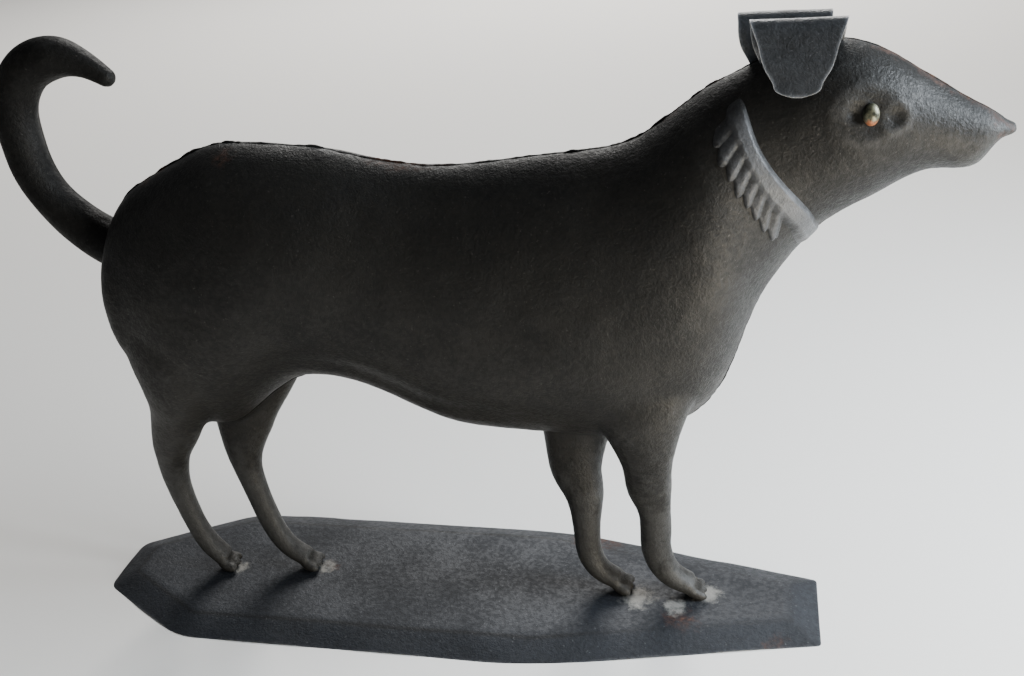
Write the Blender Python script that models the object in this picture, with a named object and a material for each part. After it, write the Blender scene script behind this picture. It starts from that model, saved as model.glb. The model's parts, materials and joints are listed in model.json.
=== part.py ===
# Standing dog of seam-welded sheet iron on a folded sheet-iron base.
# Metres, +Z up, +X towards the nose, +Y towards the dog's left side, z = 0 under the base.
import math

import bmesh
import bpy
import numpy as np
from mathutils import Vector

# Driving sizes, in metres
dog_length = 0.506  # nose tip to the back of the tail
base_sheet = 0.0012  # iron sheet of the base
ear_sheet = 0.0012  # iron sheet of the ears
touch_gap = 0.0003  # clearance between two pieces that touch

base_height = 0.007  # table to the top of the plate
base_skirt = 0.016  # how far the folded skirt runs out, in plan
base_half_width = 0.062  # middle stretch, at the rim
base_tail_half_width = 0.022
base_head_half_width = 0.0285
base_tail_chamfer = 0.0645  # length of the tapering stretch at the tail end
base_head_taper = 0.155  # length of the tapering stretch at the head end
base_past_heel = 0.0722  # from the rear hind ankle to the tail end of the rim
base_past_toe = 0.071  # from the front fore ankle to the head end of the rim

eye_width = 0.0072
eye_height = 0.0102
eye_proud = 0.0034  # how far the stud stands out of its socket

# The dog's form keeps its proportions: its tables are in parts of its length.
form_parts = 506
unit = dog_length / form_parts
ground = base_height + touch_gap

# Trunk, neck and head: back (x, z), underside (x, z) and half width of each section.
rump_end = (-208.5, 177)
nose_end = (253.5, 269.7)
sections = (
    (-204.5, 205, -202.5, 154, 20),
    (-196.5, 231, -190, 130, 30),
    (-173, 250.4, -171, 106.5, 35.5),
    (-145, 263.3, -147, 106, 38),
    (-115, 268.3, -113, 132, 39),
    (-82, 266.3, -82, 136, 38),
    (-49, 259.3, -49, 124.7, 37),
    (-17, 255, -17, 110.3, 38),
    (17, 257.3, 17, 106.3, 40),
    (50, 261.5, 50, 104, 42),
    (78, 266, 87, 107, 43),
    (99, 278.5, 118.5, 129.2, 41),
    (113, 288.6, 133.3, 158, 37),
    (123, 294.5, 145.6, 190.3, 31),
    (133, 299.7, 163.5, 217.5, 26),
    (151, 307.5, 179.5, 231.5, 26),
    (173, 312.5, 193, 239.3, 26.5),
    (193, 307.5, 207, 248, 23),
    (213, 295.5, 221.5, 252.4, 17.5),
    (231, 284, 237.5, 254, 12.5),
    (243, 277, 242.5, 261.5, 9),
    (249.5, 273, 247.5, 266.2, 6.4),
    (252.3, 271.6, 251.6, 267.4, 4),
)
section_points = 26
section_spacing = 10
end_ring_share = 0.005  # how near the first and the last ring come to the ends
spine_ridge = 0.22  # sharpening of each section at the spine seam
belly_keel = 0.35  # sharpening at the belly seam

# Collar: a raised band round the sides of the neck, placed ahead of one of the sections.
collar_row = 14
collar_height = 3.6
collar_fan = (40, 130)  # degrees from the spine, from the band's upper end to its lower one
collar_body_edge = (-1, 19)  # place of the body's side at the upper end, and its drift
collar_head_edge = (17.5, 12)  # the same for the head's side
collar_head_turn = (60, 140)  # degrees between which the head's side drifts
collar_rise = 5  # length of the slope on the body's side
collar_fall = 4  # and on the head's side
collar_nape = (28, 50)  # degrees over which the band rises out of the nape
collar_throat = (140, 180)  # and sinks towards the throat
collar_throat_share = 0.6
collar_spacing = 3
collar_reach = (-6, 40)  # where the rings lie closer

# Pleats behind the collar: their outer ends' places in degrees from the spine.
pleat_count = 8
pleat_fan = (48, 122)
pleat_longest = 15.5
pleat_shortest = 6.5
pleat_taper = 1.6
pleat_root = 3.5  # how far each pleat runs into the band
pleat_lean = 3
pleat_half_width = 2.4
pleat_half_height = 2.3

# Belly's rolled edge: middle and run along the dog, level and band on the section.
belly_middle = -35
belly_run = 48
belly_level = -0.72
belly_band = 0.16
belly_tuck = 0.16

# Limbs: centre line (x, y, z), half thickness fore and aft, half thickness across.
rear_hind = (
    (-169, -17, 178, 30, 16),
    (-170.8, -18, 143, 24.8, 17),
    (-177.2, -15, 118, 17.1, 13),
    (-184.4, -12, 101, 14.4, 11),
    (-190, -10, 87, 11.3, 9.5),
    (-192.7, -8, 73, 8.7, 8),
    (-192.7, -7, 59, 6.9, 6.8),
    (-190.8, -6, 45, 6, 6),
    (-188, -5, 31, 5.9, 6),
    (-183.4, -4, 18, 6, 6.8),
    (-175.2, -2.8, 6.8, 5, 7.6),
)
front_hind = (
    (-142, 17, 178, 33, 16),
    (-140, 18, 143, 29, 17),
    (-148.7, 15, 116, 23.7, 13),
    (-152.9, 12, 96, 17.6, 11),
    (-155.3, 10, 79, 12.3, 9.5),
    (-154.3, 8.5, 65, 8.6, 8),
    (-150.5, 7, 50, 6.7, 6.8),
    (-146.2, 5.5, 36, 6.4, 6.3),
    (-140.5, 4, 22, 6.2, 6.5),
    (-132.5, 3, 12, 5.6, 7),
    (-123.2, 3, 6.2, 4.6, 7.6),
)
rear_fore = (
    (56, 18, 160, 26, 14),
    (49.3, 19, 125, 24, 15),
    (44.6, 14, 88, 18.1, 12),
    (45.2, 11, 74, 15.5, 11),
    (48.8, 9, 61, 12, 10),
    (49.8, 7, 48, 8.9, 8.5),
    (50.3, 5, 34, 7.4, 7.2),
    (52, 4, 20, 7.2, 7.2),
    (59, 2.5, 10, 6, 7.6),
    (68.5, 1.5, 6, 4.6, 8),
)
front_fore = (
    (92, -18, 165, 27, 14),
    (85.5, -20, 130, 23.3, 15),
    (86.9, -15, 101, 15.4, 12),
    (87.3, -12, 88, 13.3, 11),
    (87.9, -9, 75, 12.5, 9.5),
    (89.8, -6, 62, 9.5, 8.5),
    (90.3, -4, 48, 8.4, 7.8),
    (90.1, -2.5, 36, 8, 7.4),
    (92.3, -1, 23, 8, 7.4),
    (99.5, 0, 12, 6.8, 8),
    (110, 1, 6.2, 5, 8.6),
)
limb_points = 12
limb_spacing = 10.5
fewest_rings = 6
cap_share = 0.5  # length of a limb's rounded end, in half thicknesses
toe_half_length = 6.2
toe_half_width = 3.0
toe_half_height = 3.8
toe_reach = 2.6
toe_pitch = 4.4
toe_spread = 20  # degrees between two toes
toe_dip = 0.18
toe_rest = 0.75  # height of a toe's middle, in half heights
grain_rings = 4
grain_points = 7
sole_depth = 0.02

tail_line = (
    (-186, 0, 206, 12.4),
    (-199, 0, 211, 12.8),
    (-212, 0, 218.6, 12.3),
    (-224, 0, 229, 11.6),
    (-234, 0, 242, 11.0),
    (-240, 0, 257, 11.2),
    (-241.7, 0, 272, 11.4),
    (-241.4, 0, 286, 11.6),
    (-237, 0, 298, 11.7),
    (-228.5, 0, 308, 12.0),
    (-218, 0, 313.2, 11.6),
    (-209, 0, 314.2, 10.4),
    (-200, 0, 312, 8.2),
    (-191.5, 0, 307.8, 6.3),
    (-183, 0, 301.9, 4.7),
)
tail_points = 12

# Ears: the strip's line across the head (y, z), and its half width along the dog.
ear_line = (
    (3.0, 291, 10.3),
    (3.1, 297, 13.2),
    (3.2, 303, 16.2),
    (3.4, 308.5, 19.0),
    (3.7, 313, 20.2),
    (4.6, 318, 20.6),
    (6.7, 320.8, 20.6),
    (10.0, 321.8, 20.6),
    (14.0, 319.2, 19.6),
    (18.5, 311.5, 16.8),
    (22.8, 303.5, 14.0),
    (26.0, 297, 10.4),
    (27.8, 293.2, 5.8),
    (28.2, 292.2, 2.0),
)
ear_right_place = 156.5
ear_left_place = 151
ear_points_along = 17
ear_points_across = 7

eye_place = (188, 283)  # (x, z) of the stud's middle
socket_half = (11, 8)
socket_depth = 2.4
eye_rows = (16, 19)  # the sections that the eye lies between
eye_turn = (0.9, 2.0)  # and its range of angles from the spine
eye_search = 80


def smooth_through(knots, rows, places):
    """Natural cubic spline through the rows, one row per knot, read at the given places."""
    knots = np.asarray(knots, float)
    rows = np.asarray(rows, float)
    step = np.diff(knots)
    rise = np.diff(rows, axis=0) / step[:, None]
    system = np.eye(len(knots))
    pull = np.zeros_like(rows)
    for i in range(1, len(knots) - 1):
        system[i, i - 1] = step[i - 1]
        system[i, i] = 2 * (step[i - 1] + step[i])
        system[i, i + 1] = step[i]
        pull[i] = 6 * (rise[i] - rise[i - 1])
    bend = np.linalg.solve(system, pull)
    i = np.clip(np.searchsorted(knots, places) - 1, 0, len(step) - 1)
    after = ((places - knots[i]) / step[i])[:, None]
    before = 1 - after
    span = (step[i] ** 2 / 6)[:, None]
    curve = (before**3 - before) * bend[i] + (after**3 - after) * bend[i + 1]
    return before * rows[i] + after * rows[i + 1] + curve * span


def run_lengths(points):
    """Distance from the first point to each of the points, along them."""
    steps = np.linalg.norm(np.diff(points, axis=0), axis=1)
    return np.concatenate([[0.0], np.cumsum(steps)])


def eased(share):
    """A share from 0 to 1 that leaves 0 and reaches 1 smoothly."""
    share = np.clip(share, 0, 1)
    return share * share * (3 - 2 * share)


def to_world(points):
    """Form coordinates to metres, with the soles' level on the base plate."""
    return np.asarray(points, float) * unit + np.array([0.0, 0.0, ground])


def mesh_object(name, points, faces):
    mesh = bpy.data.meshes.new(name)
    mesh.from_pydata(np.asarray(points).tolist(), [], faces)
    shape = bmesh.new()
    shape.from_mesh(mesh)
    bmesh.ops.recalc_face_normals(shape, faces=shape.faces)
    bmesh.ops.triangulate(shape, faces=shape.faces)
    shape.to_mesh(mesh)
    shape.free()
    made = bpy.data.objects.new(name, mesh)
    bpy.context.scene.collection.objects.link(made)
    return made


def helper(made):
    """A shape that only joins or cuts another one."""
    made.hide_render = True
    made.display_type = "WIRE"
    return made


def skin_object(name, rings, start, end):
    """A closed skin over rings of points, drawn to a point at each end."""
    count, around = rings.shape[:2]
    points = np.concatenate([rings.reshape(-1, 3), [start], [end]])
    first = count * around
    last_ring = first - around
    faces = []
    for j in range(around):
        k = (j + 1) % around
        for i in range(count - 1):
            low = i * around
            faces.append((low + j, low + k, low + around + k, low + around + j))
        faces.append((first, k, j))
        faces.append((first + 1, last_ring + j, last_ring + k))
    return mesh_object(name, points, faces)


def combine(target, other, operation):
    """Joins another shape to the target, or cuts it away, by a live Boolean."""
    modifier = target.modifiers.new(other.name, "BOOLEAN")
    modifier.operation = operation
    modifier.solver = "EXACT"
    modifier.object = other


def finish(made, colour, roughness, metallic=0.9):
    """Smooth shading and the piece's own plain finish."""
    made.data.shade_smooth()
    made.data.set_sharp_from_angle(angle=math.radians(40))
    material = bpy.data.materials.new(made.name)
    material.use_nodes = True
    shader = material.node_tree.nodes["Principled BSDF"]
    shader.inputs["Base Color"].default_value = (*colour, 1.0)
    shader.inputs["Roughness"].default_value = roughness
    shader.inputs["Metallic"].default_value = metallic
    made.data.materials.append(material)


# Trunk, neck and head


def section_table():
    """The sections with the two end points, and the distance of each along the body."""
    rump = (rump_end[0], rump_end[1], rump_end[0], rump_end[1], 0)
    nose = (nose_end[0], nose_end[1], nose_end[0], nose_end[1], 0)
    rows = np.array((rump, *sections, nose), float)
    middles = (rows[:, 0:2] + rows[:, 2:4]) / 2
    return run_lengths(middles), rows


def collar_edges(degrees):
    """Distances along the body of the collar's two edges, at angles from the spine."""
    knots, _ = section_table()
    first = knots[collar_row]
    share = (degrees - collar_fan[0]) / (collar_fan[1] - collar_fan[0])
    body_edge = first + collar_body_edge[0] + collar_body_edge[1] * np.clip(share, 0, 1)
    start, end = collar_head_turn
    drift = eased((degrees - start) / (end - start))
    return body_edge, first + collar_head_edge[0] + collar_head_edge[1] * drift


def collar_shape(along, level):
    """Height of the raised collar: a band with sloping sides that fades out at the nape."""
    degrees = np.degrees(np.arccos(np.clip(level, -1, 1)))
    body_edge, head_edge = collar_edges(degrees)
    rising = eased((along - body_edge + collar_rise / 2) / collar_rise)
    falling = eased((head_edge - along + collar_fall / 2) / collar_fall)
    nape = eased((degrees - collar_nape[0]) / (collar_nape[1] - collar_nape[0]))
    sunk = eased((degrees - collar_throat[0]) / (collar_throat[1] - collar_throat[0]))
    throat = 1 - (1 - collar_throat_share) * sunk
    return collar_height * rising * falling * nape * throat


def body_points(along, turn):
    """Skin points of trunk, neck and head, at distances along it and angles from the spine.

    A section spans from the spine to the belly line and its half width; the sides follow an
    ellipse whose two seams are drawn out to a low ridge.
    """
    knots, rows = section_table()
    read = smooth_through(knots, rows, along)
    top, bottom, width = read[:, 0:2], read[:, 2:4], np.maximum(read[:, 4], 0)
    height = np.cos(turn)[None, :]
    across = np.sin(turn)[None, :]
    sharpness = 1 + spine_ridge * np.maximum(height, 0) ** 2
    sharpness = sharpness + belly_keel * np.maximum(-height, 0) ** 2
    side = np.sign(across) * np.abs(across) ** sharpness
    middle = (top + bottom) / 2
    reach = (top - bottom) / 2
    raised = collar_shape(along[:, None], height)
    lift = 1 + raised / np.maximum(np.linalg.norm(reach, axis=1), 1)[:, None]
    widen = 1 + raised / np.maximum(width, 1)[:, None]
    x = middle[:, None, 0] + reach[:, None, 0] * height * lift
    y = width[:, None] * side * widen
    z = middle[:, None, 1] + reach[:, None, 1] * height * lift
    # the belly's rolled edge: a soft crease above it, between the hind and the fore legs
    belly = np.exp(-(((x - belly_middle) / belly_run) ** 4))
    belly = belly * np.exp(-(((height - belly_level) / belly_band) ** 2))
    y = y * (1 - belly_tuck * belly)
    # the eye sockets
    apart = ((x - eye_place[0]) / socket_half[0]) ** 2
    apart = apart + ((z - eye_place[1]) / socket_half[1]) ** 2
    y = y - np.sign(across) * socket_depth * np.exp(-apart)
    return np.stack([x, y, z], axis=-1)


def body_point(along, degrees):
    """One point of the skin."""
    return body_points(np.array([along]), np.array([math.radians(degrees)]))[0, 0]


def body_stations():
    """Distances of the rings: even along the body, and closer over the collar."""
    knots, _ = section_table()
    count = round(knots[-1] / section_spacing)
    even = np.linspace(0, knots[-1], count + 1)[1:-1]
    collar = knots[collar_row] + np.arange(*collar_reach, collar_spacing)
    apart = (even < collar[0] - collar_spacing) | (even > collar[-1] + collar_spacing)
    ends = [knots[-1] * end_ring_share, knots[-1] * (1 - end_ring_share)]
    return np.sort(np.concatenate([even[apart], collar, ends]))


def body_skin(name, grow=0.0):
    """The whole skin, or one a little larger on every side, for clearances."""
    turn = np.arange(section_points) * 2 * math.pi / section_points
    rings = to_world(body_points(body_stations(), turn))
    start = to_world([rump_end[0], 0, rump_end[1]])
    end = to_world([nose_end[0], 0, nose_end[1]])
    made = skin_object(name, rings, start, end)
    if grow:
        normals = [vertex.normal.copy() for vertex in made.data.vertices]
        for vertex, normal in zip(made.data.vertices, normals):
            vertex.co += normal * grow
    return made


# Limbs and tail


def sweep(name, line, around):
    """A rounded limb: elliptical rings square to a smooth centre line."""
    line = np.asarray(line, float)
    knots = run_lengths(line[:, 0:3])
    count = max(round(knots[-1] / limb_spacing), fewest_rings)
    places = np.linspace(0, knots[-1], count)
    read = smooth_through(knots, line, places)
    centre = read[:, 0:3]
    ahead = np.gradient(centre, axis=0)
    ahead = ahead / np.linalg.norm(ahead, axis=1)[:, None]
    across = np.array([0.0, 1.0, 0.0]) - ahead * ahead[:, 1:2]
    across = across / np.linalg.norm(across, axis=1)[:, None]
    fore = np.cross(across, ahead)
    turn = (np.arange(around) * 2 * math.pi / around)[None, :, None]
    thick = read[:, None, 3:4]
    broad = read[:, None, -1:]
    rings = centre[:, None, :] + thick * np.cos(turn) * fore[:, None, :]
    rings = rings + broad * np.sin(turn) * across[:, None, :]
    start = centre[0] - ahead[0] * line[0, 3] * cap_share
    end = centre[-1] + ahead[-1] * line[-1, 3] * cap_share
    return skin_object(name, to_world(rings), to_world(start), to_world(end))


def drop(name, centre, forward, half_length, half_width, half_height):
    """A long rounded grain, lying along a direction."""
    centre = np.asarray(centre, float)
    forward = np.asarray(forward, float) / np.linalg.norm(forward)
    across = np.cross([0.0, 0.0, 1.0], forward)
    across = across / np.linalg.norm(across)
    up = np.cross(forward, across)
    along = np.linspace(-1, 1, grain_rings + 2)[1:-1, None, None]
    turn = (np.arange(grain_points) * 2 * math.pi / grain_points)[None, :, None]
    thin = np.sqrt(1 - along**2)
    rings = centre + forward * along * half_length
    rings = rings + across * np.cos(turn) * thin * half_width
    rings = rings + up * np.sin(turn) * thin * half_height
    start = centre - forward * half_length
    end = centre + forward * half_length
    return skin_object(name, to_world(rings), to_world(start), to_world(end))


def leg(name, line):
    """A leg with its foot, spread toes and a sole cut flat just above the plate."""
    made = helper(sweep(name, line, limb_points))
    foot = np.array(line[-1][0:3], float)
    before = np.array(line[-2][0:3], float)
    heading = math.atan2(foot[1] - before[1], foot[0] - before[0])
    for number in (-1, 0, 1):
        turned = heading + math.radians(toe_spread) * number
        forward = np.array([math.cos(turned), math.sin(turned), -toe_dip])
        side = np.array([-math.sin(heading), math.cos(heading), 0.0])
        centre = foot + forward * toe_reach + side * toe_pitch * number
        centre[2] = toe_half_height * toe_rest
        shape = (toe_half_length, toe_half_width, toe_half_height)
        toe = helper(drop(f"{name}_toe_{number + 2}", centre, forward, *shape))
        combine(made, toe, "UNION")
    return made


def sole_block():
    """Everything below the soles, with the clearance over the plate."""
    half = dog_length
    depth = base_height + sole_depth
    corners = [(x, y, z) for x in (-half, half) for y in (-half, half) for z in (-depth, 0)]
    points = np.array(corners) + [0.0, 0.0, ground]
    faces = [(0, 1, 3, 2), (4, 6, 7, 5), (0, 4, 5, 1), (2, 3, 7, 6), (0, 2, 6, 4), (1, 5, 7, 3)]
    return helper(mesh_object("below_soles", points, faces))


# The collar's pleats


def pleats(body):
    """Short pleats that run back from the collar's band, on both sides of the neck."""
    for hand, side in ((-1, "right"), (1, "left")):
        for number in range(pleat_count):
            share = number / max(pleat_count - 1, 1)
            turn = pleat_fan[0] + (pleat_fan[1] - pleat_fan[0]) * share
            body_edge, _ = collar_edges(turn)
            extra = (pleat_longest - pleat_shortest) * (1 - share) ** pleat_taper
            low = body_point(body_edge - pleat_shortest - extra, hand * turn)
            high = body_point(body_edge + pleat_root, hand * (turn - pleat_lean))
            half = np.linalg.norm(high - low) / 2
            shape = (half, pleat_half_width, pleat_half_height)
            pleat = drop(f"pleat_{side}_{number + 1}", (low + high) / 2, high - low, *shape)
            combine(body, helper(pleat), "UNION")


def dog_body():
    """Trunk, neck, head, collar, legs and feet, welded into one shell."""
    body = body_skin("dog_body")
    soles = sole_block()
    limbs = {
        "leg_hind_right": rear_hind,
        "leg_hind_left": front_hind,
        "leg_fore_left": rear_fore,
        "leg_fore_right": front_fore,
    }
    for name, line in limbs.items():
        combine(body, leg(name, line), "UNION")
    pleats(body)
    combine(body, soles, "DIFFERENCE")
    finish(body, (0.045, 0.043, 0.042), 0.5)
    return body


def tail(clearance):
    """Tapering rolled tail, curled forward, its root shaped to the rump."""
    made = sweep("tail", [(x, y, z, r, r) for x, y, z, r in tail_line], tail_points)
    combine(made, clearance, "DIFFERENCE")
    finish(made, (0.04, 0.038, 0.036), 0.55)


# Ears


def ear(name, hand, place, clearance):
    """A sheet tongue that rises from the head, folds outward and hangs beside it."""
    line = np.asarray(ear_line, float)
    knots = run_lengths(line[:, 0:2])
    read = smooth_through(knots, line, np.linspace(0, knots[-1], ear_points_along))
    ahead = np.gradient(read[:, 0:2], axis=0)
    ahead = ahead / np.linalg.norm(ahead, axis=1)[:, None]
    out = np.stack([-ahead[:, 1], ahead[:, 0]], axis=-1)
    spread = np.linspace(-1, 1, ear_points_across)
    half = ear_sheet / 2 / unit
    sides = []
    for offset in (half, -half):
        line_y = hand * (read[:, 0] + out[:, 0] * offset)
        line_z = read[:, 1] + out[:, 1] * offset
        x = place + read[:, 2:3] * spread[None, :]
        y = np.broadcast_to(line_y[:, None], x.shape)
        z = np.broadcast_to(line_z[:, None], x.shape)
        sides.append(np.stack([x, y, z], axis=-1).reshape(-1, 3))
    rows, columns = ear_points_along, ear_points_across
    size = rows * columns
    faces = []
    for i in range(rows - 1):
        for j in range(columns - 1):
            low = i * columns + j
            cell = (low, low + 1, low + columns + 1, low + columns)
            faces.append(cell)
            faces.append(tuple(size + corner for corner in reversed(cell)))
    rim = list(range(columns))
    rim += [i * columns + columns - 1 for i in range(1, rows)]
    rim += [size - 1 - j for j in range(1, columns)]
    rim += [i * columns for i in range(rows - 2, 0, -1)]
    for one, two in zip(rim, rim[1:] + rim[:1]):
        faces.append((two, one, size + one, size + two))
    made = mesh_object(name, to_world(np.concatenate(sides)), faces)
    combine(made, clearance, "DIFFERENCE")
    finish(made, (0.09, 0.095, 0.105), 0.42)


# Eyes


def eye(name, hand, clearance):
    """A domed stud in its socket on the side of the head."""
    knots, _ = section_table()
    along = np.linspace(knots[eye_rows[0]], knots[eye_rows[1]], eye_search)
    turn = hand * np.linspace(*eye_turn, eye_search)
    grid = body_points(along, turn).reshape(-1, 3)
    miss = np.hypot(grid[:, 0] - eye_place[0], grid[:, 2] - eye_place[1])
    seat = Vector(to_world(grid[np.argmin(miss)]))
    shape = bmesh.new()
    bmesh.ops.create_uvsphere(shape, u_segments=12, v_segments=8, radius=1.0)
    for vertex in shape.verts:
        x, y, z = vertex.co
        local = Vector((x * eye_width / 2, z * eye_proud, y * eye_height / 2))
        vertex.co = seat + local
    bmesh.ops.recalc_face_normals(shape, faces=shape.faces)
    bmesh.ops.triangulate(shape, faces=shape.faces)
    mesh = bpy.data.meshes.new(name)
    shape.to_mesh(mesh)
    shape.free()
    made = bpy.data.objects.new(name, mesh)
    bpy.context.scene.collection.objects.link(made)
    combine(made, clearance, "DIFFERENCE")
    finish(made, (0.42, 0.36, 0.2), 0.4)


# Base


def inset(outline, distance):
    """The outline of a convex plan, moved inwards by a distance on every side."""
    count = len(outline)
    moved = []
    for i in range(count):
        one, two = outline[i], outline[(i + 1) % count]
        along = (two - one) / np.linalg.norm(two - one)
        moved.append((one + distance * np.array([-along[1], along[0]]), along))
    corners = []
    for i in range(count):
        (p, a), (q, b) = moved[i - 1], moved[i]
        t = np.linalg.solve(np.stack([a, -b], axis=1), q - p)[0]
        corners.append(p + a * t)
    return np.array(corners)


def base_tray():
    """Eight-sided plate with its skirt folded down and outwards, open below."""
    tail_end = rear_hind[-1][0] * unit - base_past_heel
    head_end = front_fore[-1][0] * unit + base_past_toe
    half_plan = [
        (tail_end, -base_tail_half_width),
        (tail_end + base_tail_chamfer, -base_half_width),
        (head_end - base_head_taper, -base_half_width),
        (head_end, -base_head_half_width),
    ]
    plan = np.array(half_plan + [(x, -y) for x, y in reversed(half_plan)])
    slope = math.hypot(base_height, base_skirt) / base_height
    rim_width = base_sheet * slope
    turn_back = base_sheet * (slope - base_skirt / base_height)
    levels = (
        (inset(plan, base_skirt), base_height),
        (plan, 0.0),
        (inset(plan, rim_width), 0.0),
        (inset(plan, base_skirt + turn_back), base_height - base_sheet),
    )
    points = np.concatenate([np.column_stack([flat, np.full(8, z)]) for flat, z in levels])
    faces = [tuple(range(8)), tuple(range(31, 23, -1))]
    for level in range(3):
        for i in range(8):
            k = (i + 1) % 8
            low = level * 8
            faces.append((low + i, low + 8 + i, low + 8 + k, low + k))
    made = mesh_object("base_tray", points, faces)
    finish(made, (0.05, 0.055, 0.065), 0.45)


def build():
    for thing in list(bpy.data.objects):
        bpy.data.objects.remove(thing, do_unlink=True)
    dog_body()
    clearance = helper(body_skin("body_clearance", touch_gap))
    tail(clearance)
    ear("ear_right", -1, ear_right_place, clearance)
    ear("ear_left", 1, ear_left_place, clearance)
    eye("eye_right", -1, clearance)
    eye("eye_left", 1, clearance)
    base_tray()


build()
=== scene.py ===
import json
import math

import bmesh
import bpy
import numpy as np
from mathutils import Matrix

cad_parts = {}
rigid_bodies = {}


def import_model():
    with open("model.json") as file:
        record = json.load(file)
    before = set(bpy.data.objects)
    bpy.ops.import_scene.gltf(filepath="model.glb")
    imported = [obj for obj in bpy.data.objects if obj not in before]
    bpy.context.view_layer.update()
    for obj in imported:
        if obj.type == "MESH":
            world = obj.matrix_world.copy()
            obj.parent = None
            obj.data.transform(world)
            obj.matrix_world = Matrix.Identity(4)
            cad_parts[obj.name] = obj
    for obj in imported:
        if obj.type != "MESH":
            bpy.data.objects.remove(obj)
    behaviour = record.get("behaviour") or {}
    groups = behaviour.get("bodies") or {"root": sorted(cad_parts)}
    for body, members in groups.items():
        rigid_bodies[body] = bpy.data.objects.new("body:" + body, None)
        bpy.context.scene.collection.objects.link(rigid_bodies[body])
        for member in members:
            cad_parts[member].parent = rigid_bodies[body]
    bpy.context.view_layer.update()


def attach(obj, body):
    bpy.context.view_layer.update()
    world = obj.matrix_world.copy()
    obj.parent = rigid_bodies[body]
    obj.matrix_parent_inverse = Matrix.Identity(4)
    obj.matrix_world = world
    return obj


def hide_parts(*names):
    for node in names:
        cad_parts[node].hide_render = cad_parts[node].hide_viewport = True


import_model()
print("frame loaded")

# the form tables are in millimetres, with the soles' level as z = 0
formUnit = 0.001
soleLevel = 0.0073
# a bulge raises the value that is painted as rubbed wear; a hollow lowers it, and is painted dark as shade
bulgeToWorn = 9000  # how strongly a bulge of the skin counts as worn


def matrixAt(place, right, up, back):
    # its columns are the three directions and the place
    turned = np.eye(4)
    turned[:3] = np.column_stack([right, up, back, place])
    return Matrix(turned.tolist())


# camera at the viewpoint of the photograph

cameraValues = {
    "place": (0.1375, -0.5207, 0.4248),
    "yaw": 13.11,  # degrees to the left of straight ahead
    "pitch": 25.69,  # degrees down
    "roll": 4.49,
    "focalPixels": 1124.6,
    "imageWidth": 1024,
    "sensorWidth": 36.0,
}


def makeCamera(values):
    yaw, pitch, roll = (math.radians(values[key]) for key in ("yaw", "pitch", "roll"))
    ahead = np.array([-math.sin(yaw) * math.cos(pitch), math.cos(yaw) * math.cos(pitch), -math.sin(pitch)])
    level = np.array([math.cos(yaw), math.sin(yaw), 0.0])
    down = np.cross(ahead, level)
    right = math.cos(roll) * level + math.sin(roll) * down
    below = math.cos(roll) * down - math.sin(roll) * level
    data = bpy.data.cameras.new("camera")
    data.sensor_width = values["sensorWidth"]
    data.lens = values["focalPixels"] * values["sensorWidth"] / values["imageWidth"]
    data.clip_start = 0.01
    camera = bpy.data.objects.new("camera", data)
    bpy.context.scene.collection.objects.link(camera)
    camera.matrix_world = matrixAt(values["place"], right, -below, -ahead)
    bpy.context.scene.camera = camera


makeCamera(cameraValues)
print("camera placed")


# number work shared by the pieces


def eased(share):
    # share kept from 0 to 1, leaving 0 and reaching 1 with no slope: 3 s^2 - 2 s^3
    share = np.clip(share, 0, 1)
    return share * share * (3 - 2 * share)


def runLengths(points):
    # distance along the points, 0 at the first
    steps = np.linalg.norm(np.diff(points, axis=0), axis=1)
    return np.concatenate([[0.0], np.cumsum(steps)])


def smoothThrough(knots, rows, places):
    # natural cubic spline: each row's second slope comes from one linear system, then two
    # cubics of the shares before and after a place are added to the straight line
    knots = np.asarray(knots, float)
    rows = np.asarray(rows, float)
    step = np.diff(knots)
    rise = np.diff(rows, axis=0) / step[:, None]
    system = np.eye(len(knots))
    pull = np.zeros_like(rows)
    for i in range(1, len(knots) - 1):
        system[i, i - 1 : i + 2] = step[i - 1], 2 * (step[i - 1] + step[i]), step[i]
        pull[i] = 6 * (rise[i] - rise[i - 1])
    bend = np.linalg.solve(system, pull)
    i = np.clip(np.searchsorted(knots, places) - 1, 0, len(step) - 1)
    after = ((places - knots[i]) / step[i])[..., None]
    before = 1 - after
    span = (step[i] ** 2 / 6)[..., None]
    curve = (before**3 - before) * bend[i] + (after**3 - after) * bend[i + 1]
    return before * rows[i] + after * rows[i + 1] + curve * span


def latticeCode(corner):
    return (corner[..., 0] * 73856093) ^ (corner[..., 1] * 19349663) ^ (corner[..., 2] * 83492791)


def softNoise(points, cell, seed):
    # random value at each corner of a lattice, from -1 to 1, blended by eased shares
    table = np.random.default_rng(seed).uniform(-1, 1, 4096)
    place = np.asarray(points) / cell
    low = np.floor(place).astype(np.int64)
    share = eased(place - low)
    total = np.zeros(place.shape[:-1])
    for corner in np.ndindex(2, 2, 2):
        weight = np.prod(np.where(np.array(corner) == 1, share, 1 - share), axis=-1)
        total += table[latticeCode(low + corner) & 4095] * weight
    return total


def hammerMarks(points, cell, seed):
    # distance to the nearest of one jittered middle per lattice cell, in cells
    middles = np.random.default_rng(seed).uniform(0, 1, (4096, 3))
    place = np.asarray(points) / cell
    low = np.floor(place).astype(np.int64)
    nearest = np.full(place.shape[:-1], 9.0)
    for corner in np.ndindex(3, 3, 3):
        there = low + np.array(corner) - 1
        middle = there + middles[latticeCode(there) & 4095]
        nearest = np.minimum(nearest, np.linalg.norm(place - middle, axis=-1))
    return nearest


def toMetres(points):
    return np.asarray(points) * formUnit + np.array([0.0, 0.0, soleLevel])


# mesh work shared by the pieces


def gridFaces(rows, columns, wrapped, first=0):
    # four-cornered faces between the points of a grid, row by row
    i = np.arange(rows - 1)[:, None]
    j = np.arange(columns if wrapped else columns - 1)[None, :]
    k = (j + 1) % columns
    low = i * columns
    quads = np.stack([low + j, low + k, low + columns + k, low + columns + j], axis=-1)
    return (quads.reshape(-1, 4) + first).tolist()


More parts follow.
